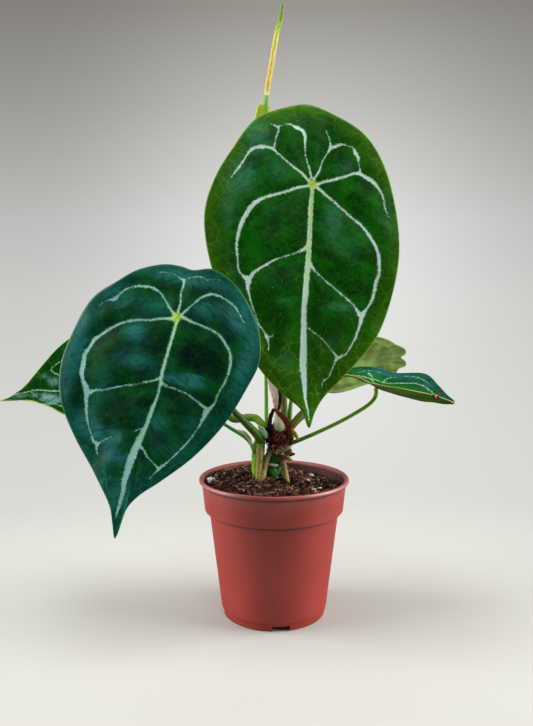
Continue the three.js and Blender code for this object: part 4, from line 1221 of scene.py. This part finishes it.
def stalk_finish(name, foot, middle, head, length):
    """A stalk's finish: colours from its foot to its head, with fine streaks along it."""
    stalk = Finish(
        name, roughness=0.42, specular_ior_level=0.25, subsurface_weight=0.5, subsurface_scale=0.003,
        subsurface_radius=(0.6, 1, 0.3),
    )  # fmt: skip
    straight = stalk.attribute("straight", "Vector")
    height = stalk.axes(straight, "Z")[0] / length
    streak = stalk.noise(stalk.stretched(straight, (1.6, 1.6, 0.05)), 1, 4, 0.6)
    fleck = stalk.noise(stalk.stretched(straight, (3, 3, 1.4)), 1, 3)
    shade = stalk.ramp(height, (0.0, foot), (0.35, middle), (0.9, middle), (1.0, head))
    shade = stalk.mix(stalk.smooth(streak, 0.4, 0.7) * 0.45, shade, toned(middle, 0.55))
    shade = stalk.mix(stalk.smooth(fleck, 0.62, 0.72) * 0.3, shade, toned(middle, 1.8))
    return stalk.feed(base_color=shade, normal=stalk.bump(streak + fleck * 0.3, 0.00025, 0.5))


# Each stalk's colours at its foot, in the middle and at its head.
STALK_COLOURS = {
    "leaf_1": ((96, 110, 36), (86, 112, 20), (120, 156, 34)),
    "leaf_2": ((84, 116, 16), (42, 74, 12), (96, 134, 30)),
    "leaf_3": ((130, 156, 50), (60, 122, 72), (84, 134, 50)),
    "leaf_4": ((36, 84, 20), (108, 156, 28), (164, 204, 50)),
    "leaf_5": ((148, 156, 44), (50, 78, 16), (96, 130, 40)),
    "leaf_6": ((110, 168, 60), (88, 148, 40), (110, 156, 50)),
    "leaf_7": ((160, 192, 64), (52, 92, 18), (90, 134, 40)),
}
# How far below its hub a stalk ends, in the blade.
STALK_SINK = 1.2
STALK_SIDES, STALK_STEPS = 20, 90


def build_petioles():
    for name, (points, radii) in LEAF_STALKS.items():
        turn, hub = blade_frame(LEAVES[name])
        path = [*points, hub - STALK_SINK * turn.to_3x3() @ Vector((0, 0, 1))]
        shades = [linear(*shade) for shade in STALK_COLOURS[name]]
        finish = stalk_finish(name + "_stalk_green", *shades, Route(path).length)
        stalk = swept(path, radii, STALK_SIDES, STALK_STEPS)
        finished(name + "_stalk", stalk, [finish], [name + "_petiole"])


# The flower

# The spike's colours from its foot, as a share of its length and sRGB bytes.
SPIKE_STOPS = [
    (0.0, 200, 198, 150), (0.05, 160, 148, 64), (0.4, 156, 134, 68), (0.6, 150, 146, 60),
    (0.74, 126, 146, 30), (0.82, 74, 104, 4), (1.0, 66, 98, 2),
]  # fmt: skip


def build_flower(settings):
    path = [(-2, 1, 143), (-5.4, 1, 153), (-6.2, 2, 175), (-6.4, 4, 290), (-6.5, 6, 385), (-6, 6, 408.5)]
    stalk = swept(path, [1.7, 1.4, 1.2, 1.2, 1.2, 1.5], STALK_SIDES, STALK_STEPS)
    greens = linear(116, 164, 40), linear(86, 142, 10), linear(84, 140, 6)
    green = stalk_finish("flower_stalk_green", *greens, Route(path).length)
    finished("flower_stalk", stalk, [green], ["peduncle"])

    path = [(-6, 6, 408.3), (-3.4, 7, 425), (-0.6, 8, 441), (2, 9, 456), (5, 10, 468), (6.6, 10, 478)]
    length = Route(path).length

    def florets(fraction, angle):
        turn, rise = 4 * angle, fraction * length * 2.1
        return 1 + 0.07 * math.sin(turn + rise) * math.sin(turn - rise)

    cone = swept(path, [1.6, 2.1, 2.2, 2.1, 2, 1.9, 1.7, 1.1], 32, 220, florets)
    spike = Finish(
        "spike_yellow", roughness=0.6, specular_ior_level=0.2, subsurface_weight=0.9, subsurface_scale=0.005,
        subsurface_radius=(1, 0.9, 0.45),
    )  # fmt: skip
    straight = spike.attribute("straight", "Vector")
    height = spike.axes(straight, "Z")[0] / length
    grain = spike.noise(spike.stretched(straight, (1, 1, 1)), 1.6, 3)
    stops = [(place, linear(*tone)) for place, *tone in SPIKE_STOPS]
    shade = spike.ramp(height + (grain - 0.5) * 0.06, *stops)
    shade = spike.mix(spike.smooth(grain, 0.55, 0.75) * 0.5, shade, linear(250, 240, 170))
    yellow = spike.feed(base_color=shade, normal=spike.bump(grain, 0.00012, 0.5))
    finished("flower_spike", cone, [yellow], ["spadix"])
    greens = linear(156, 178, 20), linear(196, 208, 54)
    faces = [young_face(name, *greens) for name in ("spathe_inner", "spathe_outer")]
    build_blade("spathe", LEAVES["spathe"], None, None, [], settings, faces)


# The stem and crown

# Lumps of the old nodes: centre, radii, tint and seed.
OLD_NODES = [
    ((8, -2, 128), (6.6, 5.6, 3.2), 0.2, 2), ((2.6, -4.6, 131.5), (3.4, 2.6, 2.4), 0.75, 9),
    ((10.4, -4.8, 130.4), (2.8, 2.6, 2), 0.3, 5), ((6.4, -5.4, 125.8), (2.8, 2, 1.8), 0.55, 12),
    ((5, -3.4, 135.6), (6, 4.4, 2.6), 0.9, 7),
]  # fmt: skip
# The right, left and front prop roots: points from the top, radii, and the heights between which the
# tint runs from full to the last value.
PROP_ROOTS = [
    (
        [(5, -3, 129), (7.6, -6.5, 121), (8.9, -8, 115), (10.6, -9, 106), (12, -10, 92)],
        [2.4, 2.2, 2.1, 2, 1.8], 106, 126, 0.15,
    ),
    (
        [(-1, -3, 134), (-5.5, -6.4, 127), (-8, -10.5, 118), (-9.5, -13, 106), (-10, -14, 92)],
        [2.6, 2.4, 2.3, 2.2, 1.8], 110, 128, 0.1,
    ),
    (
        [(-11.5, -8.5, 136.5), (-11.6, -10.5, 124), (-12.5, -12.5, 110), (-14, -14, 92)],
        [2.5, 2.3, 2.2, 1.8], 100, 137, 0.3,
    ),
]  # fmt: skip
# Strips of old sheath: points, half-widths, half-thicknesses, sides, steps and tint. The first two arch
# over the new shoot, and the third stands beside the papery husk.
SHEATH_STRIPS = [
    (
        [(-0.1, -8, 166.4), (3, -10, 163.5), (7, -10.8, 160), (11, -10.2, 153.4), (12, -8, 147)],
        [1.2, 1.8, 2.4, 2.6, 1.6], [0.5, 0.4, 0.4, 0.5, 0.5], 20, 60, 0.4,
    ),
    (
        [(-0.1, -8, 166.4), (-2.4, -9.2, 161), (-3.6, -9.6, 153), (-3, -8, 146)],
        [1.2, 1.6, 1.7, 1.5], [0.5, 0.4, 0.4, 0.5], 20, 60, -0.5,
    ),
    (
        [(3.4, -6.6, 164), (4.6, -6.4, 172), (4.2, -5.8, 181), (1.4, -4.8, 190)],
        [0.8, 1.4, 1.5, 0.5], [0.4, 0.4, 0.4, 0.3], 16, 50, -0.8,
    ),
]  # fmt: skip
PAPERY_HUSK = (
    [(1.4, -5.5, 163.5), (1.6, -5, 170), (0.2, -4, 179), (-3.8, -3, 190)],
    [1.6, 2.9, 3.2, 2], [0.5, 0.5, 0.5, 0.5], 24, 60, 0.25,
)  # fmt: skip
HUSK_TIP = (
    [(11.5, -5, 148), (15, -6.8, 147), (17.8, -7.8, 143.8), (19, -8, 141)],
    [2.6, 2.4, 1.5, 0.5], [1.1, 0.9, 0.6, 0.4], 20, 50, 0.4,
)  # fmt: skip
BRACTS = [
    (
        [(-12.4, -9, 153), (-10, -10.4, 150.4), (-7.4, -10.6, 146.6), (-5.6, -9.6, 143)],
        [0.8, 2.2, 2.4, 0.9], [0.5, 0.4, 0.4, 0.4], 20, 50, 0.5,
    ),
    (
        [(-29, -7, 149), (-24, -8.6, 147.4), (-19.6, -9.4, 142.6), (-17.6, -9.2, 136)],
        [0.5, 1.5, 1.4, 0.6], [0.3, 0.25, 0.25, 0.3], 16, 50, 1,
    ),
]  # fmt: skip
BRACT_FACING = (0, -1, 0.4)
COLLAR_PROFILE = [
    (4.5, 138), (6.6, 136), (9, 138.8), (10.4, 142.6), (9.4, 147.6), (7, 151), (5, 150),
]  # fmt: skip
COLLAR_SHIFT = (4, 0, 0)
COLLAR_RADIUS, COLLAR_MIDDLE = 9.4, 144
CROWN_SEED = 23
CROWN_CENTRE = (4, -1)
# How many fibres stand out of the collar and flakes out of the nodes below, and between which heights.
STRANDS, STRAND_HEIGHTS = 620, (136.5, 152)
FLAKES, FLAKE_HEIGHTS = 110, (128, 139)


def tissue_finish(name, *shades, rough=0.55, marks=0.3):
    """Living or corky tissue: its colours run along the form by the layer `shade`, with streaks and
    dark marks."""
    tissue = Finish(name, roughness=rough, specular_ior_level=0.3)
    straight, place, tint = tissue.attribute("straight", "Vector"), tissue.place(), tissue.attribute("shade")
    streak = tissue.noise(tissue.stretched(straight, (2.4, 2.4, 0.25)), 1, 4, 0.65)
    cloud = tissue.noise(place, 330, 4, 0.6)
    spread_over = len(shades) - 1
    stops = [(k / spread_over, linear(*shade)) for k, shade in enumerate(shades)]
    shade = tissue.ramp(tint + (cloud - 0.5) * 0.3, *stops)
    shade = tissue.mix(tissue.smooth(streak, 0.5, 0.72) * 0.5, shade, linear(70, 56, 34))
    spots = tissue.noise(place, 620, 3, 0.6)
    shade = tissue.mix(tissue.smooth(spots, 0.56, 0.66) * marks, shade, linear(40, 24, 18))
    return tissue.feed(base_color=shade, normal=tissue.bump(streak + cloud * 0.6, 0.0004, 0.7))


def build_stem():
    def knobbly(fraction, angle):
        spot = Vector((3 * math.cos(angle), 3 * math.sin(angle), 26 * fraction))
        return 1 + 0.14 * noise.noise(spot) + 0.08 * noise.noise(spot * 2.7)

    axis = [(1, 2, 88), (0, 0, 108), (0.5, -1, 120), (5, 0, 129), (5, 0, 142), (4.5, 0, 158)]
    bm = swept(axis, [4, 4, 4.4, 6.2, 6.5, 6.3, 4.6], 36, 120, knobbly, shades=(122, 138, 0.1, 0.9))
    pebble(bm, (-0.5, -7.7, 114.6), (4.2, 4.3, 4.9), 0.2, 0.0, 4, 4)
    green = tissue_finish("stem_green", (22, 96, 26), (64, 138, 40), (112, 96, 52), marks=0.6)
    finished("old_stem", bm, [green], ["stem"])

    bm = bmesh.new()
    for centre, size, tint, seed in OLD_NODES:
        pebble(bm, centre, size, 0.9, tint, 4, seed)
    bark = tissue_finish("node_bark", (40, 18, 14), (122, 70, 56), (204, 172, 146), rough=0.85, marks=0.9)
    finished("old_nodes", bm, [bark])

    bm = bmesh.new()
    for points, radii, low, high, last in PROP_ROOTS:
        made = sweep(bm, points, radii, sides=24, steps=90, shape=knobbly)
        shaded(bm, made, low, high, 1, last)
    skin = tissue_finish("root_skin", (104, 96, 72), (146, 128, 70), (196, 194, 90), marks=0.8)
    finished("prop_roots", bm, [skin])

    round_the_bud = [(-4.6, -4.6, 121), (-2, -6.8, 120.8), (2, -6.6, 120.4), (4.4, -4.4, 120)]
    ring = tissue_finish("leaf_scar", (196, 204, 160), (226, 226, 200), marks=0.3)
    finished("scar_ring", swept(round_the_bud, [1.1, 1.3, 1.3, 1], 12, 24), [ring])

    axis = [(-12, -2, 88), (-12.8, -4, 106), (-13, -5, 124), (-12, -5, 136), (-10, -5, 146)]
    shoot = swept(axis, [3.6, 4.2, 4.5, 5, 3.6], 32, 90, knobbly, shades=(108, 134, 0.1, 1))
    lime = tissue_finish("shoot_green", (176, 184, 84), (132, 178, 20), (104, 164, 16), marks=0.5)
    finished("side_shoot_fine", shoot, [lime], ["side_shoot"])

    outwards = [(8, -3, 128), (11.5, -5.5, 126), (15, -7, 124.3)]
    yellow = tissue_finish("bud_yellow", (120, 130, 40), (196, 196, 60))
    finished("root_bud", swept(outwards, [2.2, 1.9, 0.6], 16, 20, shade=0.8), [yellow])


def husk_finish(name, dark, light):
    husk = Finish(name, roughness=0.75, specular_ior_level=0.15)
    straight, place, tint = husk.attribute("straight", "Vector"), husk.place(), husk.attribute("shade")
    streak = husk.noise(husk.stretched(straight, (3.5, 3.5, 0.2)), 1, 4, 0.65)
    cloud = husk.noise(place, 260, 4)
    shade = husk.mix(husk.smooth(cloud * 0.5 + streak * 0.5 + tint * 0.5, 0.35, 0.75), dark, light)
    return husk.feed(base_color=shade, normal=husk.bump(streak, 0.0005, 0.8))


def build_crown():
    rng = random.Random(CROWN_SEED)

    def shred(bm, k, height, radius, lengths, shades):
        """A fibre or, each fourth time, a flat shred that lies on the mass and lifts at its end."""
        turn = rng.uniform(0, 2 * math.pi)
        out = Vector((math.cos(turn), math.sin(turn), 0))
        side = Vector((-math.sin(turn), math.cos(turn), 0)) * rng.choice((-1, 1))
        first = Vector((*CROWN_CENTRE, height)) + out * radius
        length, drop = rng.uniform(*lengths), rng.uniform(-1, 0.8)
        mid = first + out * rng.uniform(0.2, 1.4) + side * 0.5 * length + Vector((0, 0, 0.4 * drop * length))
        last = first + out * rng.uniform(-0.4, 2.4) + side * length * 0.8 + Vector((0, 0, drop * length))
        wide = rng.uniform(0.6, 1.3) if k % 4 == 0 else rng.uniform(0.1, 0.26)
        deep = min(wide, 0.22)
        sweep(
            bm, [first, mid, last], [wide, wide, 0.4 * wide], [deep, deep, 0.6 * deep], out, sides=5, steps=6,
            shade=rng.uniform(*shades),
        )  # fmt: skip

    def strand(bm, k):
        height = rng.uniform(*STRAND_HEIGHTS)
        radius = COLLAR_RADIUS - 0.07 * (height - COLLAR_MIDDLE) ** 2
        shred(bm, k, height, radius, (3, 9), (-0.7, 0.9))

    def flake(bm, k):
        height = rng.uniform(*FLAKE_HEIGHTS)
        shred(bm, k, height, rng.uniform(4.6, 7.4), (2, 6), (-0.4, 1))

    def ragged(fraction, angle):
        return 1 + 0.3 * noise.noise(Vector((2 * math.cos(angle), 2 * math.sin(angle), 9 * fraction)))

    def stripped(strips, facing=STRIP_FACING):
        bm = bmesh.new()
        for points, wide, deep, sides, steps, tint in strips:
            sweep(bm, points, wide, deep, facing, sides, steps, tint, ragged)
        return bm

    brown = husk_finish("dry_husk", linear(16, 6, 5), linear(110, 52, 38))
    rust = husk_finish("rust_husk", linear(40, 14, 12), linear(112, 48, 30))
    tan = husk_finish("tan_husk", linear(84, 56, 42), linear(206, 176, 146))
    bm = bmesh.new()
    lathe(bm, COLLAR_PROFILE, 64, closed=True)
    bmesh.ops.subdivide_edges(bm, edges=bm.edges[:], cuts=2, use_grid_fill=True)
    # noise_vector has a seed of its own, which is the time of day unless it is set.
    noise.seed_set(CROWN_SEED)
    for vert in bm.verts:
        spot = vert.co.copy()
        wander = 1.7 * noise.noise_vector(spot * 0.3) + 0.7 * noise.noise_vector(spot * 1.1)
        vert.co += Vector(COLLAR_SHIFT) + wander
    poured(heaped(STRANDS, strand), bm)
    finished("sheath_fibres", bm, [brown], ["fibre_collar"])
    finished("sheath_flakes", heaped(FLAKES, flake), [tan])
    finished("sheath_strips", stripped(SHEATH_STRIPS), [rust])

    leaning = [(4.9, -4, 146), (4.4, -7.4, 153), (3, -8, 158.5), (1.4, -7, 163.6)]
    shoot = swept(leaning, [3.8, 4.4, 3.4, 0.8], 28, 50, shades=(148, 162, 0.1, 1))
    bud = tissue_finish("bud_green", (140, 168, 104), (196, 208, 170), (216, 220, 192), marks=0.15)
    finished("new_shoot_fine", shoot, [bud], ["new_shoot"])

    paper = husk_finish("papery_husk", linear(176, 92, 86), linear(255, 228, 218))
    finished("papery_husk_fine", stripped([PAPERY_HUSK]), [paper], ["papery_husk"])
    curl = husk_finish("curled_husk", linear(118, 84, 22), linear(186, 172, 70))
    finished("husk_tip_fine", stripped([HUSK_TIP]), [curl], ["husk_tip"])
    bract = tissue_finish("bract_green", (84, 142, 84), (132, 182, 124), (196, 204, 132), marks=0.1)
    finished("sheath_bracts", stripped(BRACTS, BRACT_FACING), [bract])


# The stage

CAMERA_PLACE = (-0.006, -0.560, 0.254)
CAMERA_PITCH = 5.36
FOCAL_PIXELS = 711.0
IMAGE_HEIGHT = 726
FLOOR_RADIUS = 2.4
FLOOR_FADE = (0.45, 0.16)
# The wall's colours, each with its height as a share of the way from straight down to straight up.
WALL_STOPS = [
    (0.25, 226, 226, 220), (0.33, 222, 222, 216), (0.5, 234, 235, 232), (0.55, 229, 230, 228),
    (0.6, 206, 207, 202), (0.68, 154, 151, 145), (0.8, 110, 105, 100),
]  # fmt: skip
WALL_SHADOW = (0.12, 0.11, 0.105)
DARK_FRONT, BRIGHT_BACK = (0.06, 0.065, 0.07), (0.42, 0.42, 0.41)
MIRRORED_FLOOR = (0.1, 0.095, 0.09)


def softbox(name, place, aim, size, power, tone=(1, 1, 1), spread=180):
    """A rectangular lamp that points at its aim; the camera doesn't see it."""
    light = bpy.data.lights.new(name, "AREA")
    light.shape, light.size, light.size_y = "RECTANGLE", *size
    light.energy, light.color, light.spread = power, tone, math.radians(spread)
    lamp = bpy.data.objects.new(name, light)
    lamp.location = place
    lamp.rotation_euler = (Vector(aim) - Vector(place)).to_track_quat("-Z", "Y").to_euler()
    lamp.visible_camera = False
    bpy.context.scene.collection.objects.link(lamp)


def photo_camera():
    """A camera that sees the plant as the photo does."""
    camera = bpy.data.cameras.new("camera")
    camera.sensor_fit = "VERTICAL"
    camera.sensor_height = 36
    camera.lens = FOCAL_PIXELS / IMAGE_HEIGHT * camera.sensor_height
    camera.clip_end = 100
    viewer = bpy.data.objects.new("camera", camera)
    viewer.location = CAMERA_PLACE
    viewer.rotation_euler = (math.radians(90 - CAMERA_PITCH), 0, 0)
    bpy.context.scene.collection.objects.link(viewer)
    return viewer


def studio_floor(shade):
    """A pale disc that fades out into the wall, and that is darker where the plant mirrors it."""
    bm = bmesh.new()
    bmesh.ops.create_circle(bm, cap_ends=True, cap_tris=False, segments=96, radius=FLOOR_RADIUS)
    mesh = bpy.data.meshes.new("studio_floor")
    bm.to_mesh(mesh)
    bm.free()
    floor = bpy.data.objects.new("studio_floor", mesh)
    bpy.context.scene.collection.objects.link(floor)
    paint = Finish("floor_paint", roughness=0.7)
    away = paint.vector_maths("LENGTH", paint.place(), output="Value")
    mottle = paint.noise(paint.place(), 3, 3)
    shade = paint.mix(paint.smooth(mottle, 0.3, 0.7), toned(shade, 0.96), shade)
    shade = paint.mix(paint.node("ShaderNodeLightPath", output="Is Glossy Ray"), shade, MIRRORED_FLOOR)
    mesh.materials.append(paint.feed(base_color=shade, alpha=paint.smooth(away, *FLOOR_FADE)))


def build_stage(settings):
    scene = bpy.context.scene
    scene.view_settings.view_transform = "Standard"
    scene.camera = photo_camera()
    for name, side, share in (("left_softbox", -1, 1), ("right_softbox", 1, 1.05)):
        softbox(name, (1.1 * side, -0.06, 0.6), (0, 0, 0.25), (0.9, 1.4), share * settings.side_light)
    cool = (0.8, 0.92, 1)
    softbox("window", (0.35, -1, 1.1), (-0.02, 0, 0.32), (0.35, 0.35), settings.window_light, cool, 34)
    snoot = (0.03, 0.03)
    softbox("flower_snoot", (-0.02, -0.95, 0.72), (0, 0.008, 0.447), snoot, settings.flower_light, spread=9)
    softbox("top_softbox", (0, 0.15, 1.5), (0, 0, 0.2), (1.2, 0.9), settings.top_light)
    studio_floor(settings.floor[:])
    scene.world = studio_surroundings()


def studio_surroundings():
    """What stands round the plant: a pale wall with a soft glow behind the plant as the camera sees it,
    and a bright back and a dark front as the plant sees it."""
    world = bpy.data.worlds.new("studio")
    world.use_nodes = True
    sky = Sheet(world.node_tree)
    world.node_tree.nodes.clear()
    x, y, z = sky.axes(sky.node("ShaderNodeTexCoord", output="Generated"), "XYZ")
    wave = sky.maths("SINE", sky.maths("ARCTAN2", x, y) * 4 - 0.2)
    wall = sky.ramp(z * 0.5 + 0.5, *((place, linear(*tone)) for place, *tone in WALL_STOPS))
    edge = wave * wave * sky.smooth(z, -0.45, 0.3)
    wall = sky.mix(edge * 0.5, wall, WALL_SHADOW)
    felt = sky.mix(sky.smooth(y, -0.3, 0.6), DARK_FRONT, BRIGHT_BACK)
    seen = sky.node("ShaderNodeLightPath", output="Is Camera Ray")
    shader = sky.node("ShaderNodeBackground", inputs={"Color": sky.mix(seen, felt, wall)})
    output = world.node_tree.nodes.new("ShaderNodeOutputWorld")
    world.node_tree.links.new(shader.socket, output.inputs["Surface"])
    return world


# The add-on


class Builder:
    bl_options = {"REGISTER", "UNDO"}


class ANTHURIUM_OT_stage(Builder, bpy.types.Operator):
    """Set up the camera, the softboxes and the pale floor"""

    bl_idname = "anthurium.stage"
    bl_label = "Studio"

    def execute(self, context):
        build_stage(context.scene.anthurium_studio)
        return {"FINISHED"}


class ANTHURIUM_OT_pot(Builder, bpy.types.Operator):
    """Build the nursery pot with its lip, collar, foot and drain channels"""

    bl_idname = "anthurium.pot"
    bl_label = "Pot"

    def execute(self, context):
        build_pot(context.scene.anthurium_pot)
        return {"FINISHED"}


class ANTHURIUM_OT_soil(Builder, bpy.types.Operator):
    """Build the soil with its crumbs, fibres and perlite"""

    bl_idname = "anthurium.soil"
    bl_label = "Soil"

    def execute(self, context):
        build_soil(context.scene.anthurium_soil)
        return {"FINISHED"}


class ANTHURIUM_OT_stem(Builder, bpy.types.Operator):
    """Build the old stem, its nodes, roots and side shoot"""

    bl_idname = "anthurium.stem"
    bl_label = "Stem and roots"

    def execute(self, context):
        build_stem()
        return {"FINISHED"}


class ANTHURIUM_OT_crown(Builder, bpy.types.Operator):
    """Build the fibres, husks and new shoot of the crown"""

    bl_idname = "anthurium.crown"
    bl_label = "Crown"

    def execute(self, context):
        build_crown()
        return {"FINISHED"}


class ANTHURIUM_OT_stalks(Builder, bpy.types.Operator):
    """Build the seven leaf stalks"""

    bl_idname = "anthurium.stalks"
    bl_label = "Leaf stalks"

    def execute(self, context):
        build_petioles()
        return {"FINISHED"}


class ANTHURIUM_OT_flower(Builder, bpy.types.Operator):
    """Build the flower stalk, its spike and its spathe"""

    bl_idname = "anthurium.flower"
    bl_label = "Flower"

    def execute(self, context):
        build_flower(context.scene.anthurium_leaf)
        return {"FINISHED"}


class ANTHURIUM_OT_blades(Builder, bpy.types.Operator):
    """Build the seven veined leaf blades"""

    bl_idname = "anthurium.blades"
    bl_label = "Leaf blades"

    def execute(self, context):
        build_blades(context.scene.anthurium_leaf)
        return {"FINISHED"}


OPERATORS = (
    ANTHURIUM_OT_stage, ANTHURIUM_OT_pot, ANTHURIUM_OT_soil, ANTHURIUM_OT_stem, ANTHURIUM_OT_crown,
    ANTHURIUM_OT_stalks, ANTHURIUM_OT_flower, ANTHURIUM_OT_blades,
)  # fmt: skip
SETTINGS = {
    "anthurium_pot": PotSettings,
    "anthurium_soil": SoilSettings,
    "anthurium_leaf": LeafSettings,
    "anthurium_studio": StudioSettings,
}


class ANTHURIUM_PT_panel(bpy.types.Panel):
    """Lists the plant's sizes and colours, and a button for each piece"""

    bl_idname = "ANTHURIUM_PT_panel"
    bl_label = "Potted anthurium"
    bl_space_type = "VIEW_3D"
    bl_region_type = "UI"
    bl_category = "Anthurium"

    def draw(self, context):
        for name, group in SETTINGS.items():
            box = self.layout.box()
            for key in group.__annotations__:
                box.prop(getattr(context.scene, name), key)
        for operator in OPERATORS:
            self.layout.operator(operator.bl_idname)


def register():
    for group in (*SETTINGS.values(), *OPERATORS, ANTHURIUM_PT_panel):
        bpy.utils.register_class(group)
    for name, group in SETTINGS.items():
        setattr(bpy.types.Scene, name, PointerProperty(type=group))


def unregister():
    for name in SETTINGS:
        delattr(bpy.types.Scene, name)
    for group in reversed((*SETTINGS.values(), *OPERATORS, ANTHURIUM_PT_panel)):
        bpy.utils.unregister_class(group)


def main():
    register()
    for operator in OPERATORS:
        getattr(bpy.ops.anthurium, operator.bl_idname.split(".")[1])()


if __name__ == "__main__":
    main()
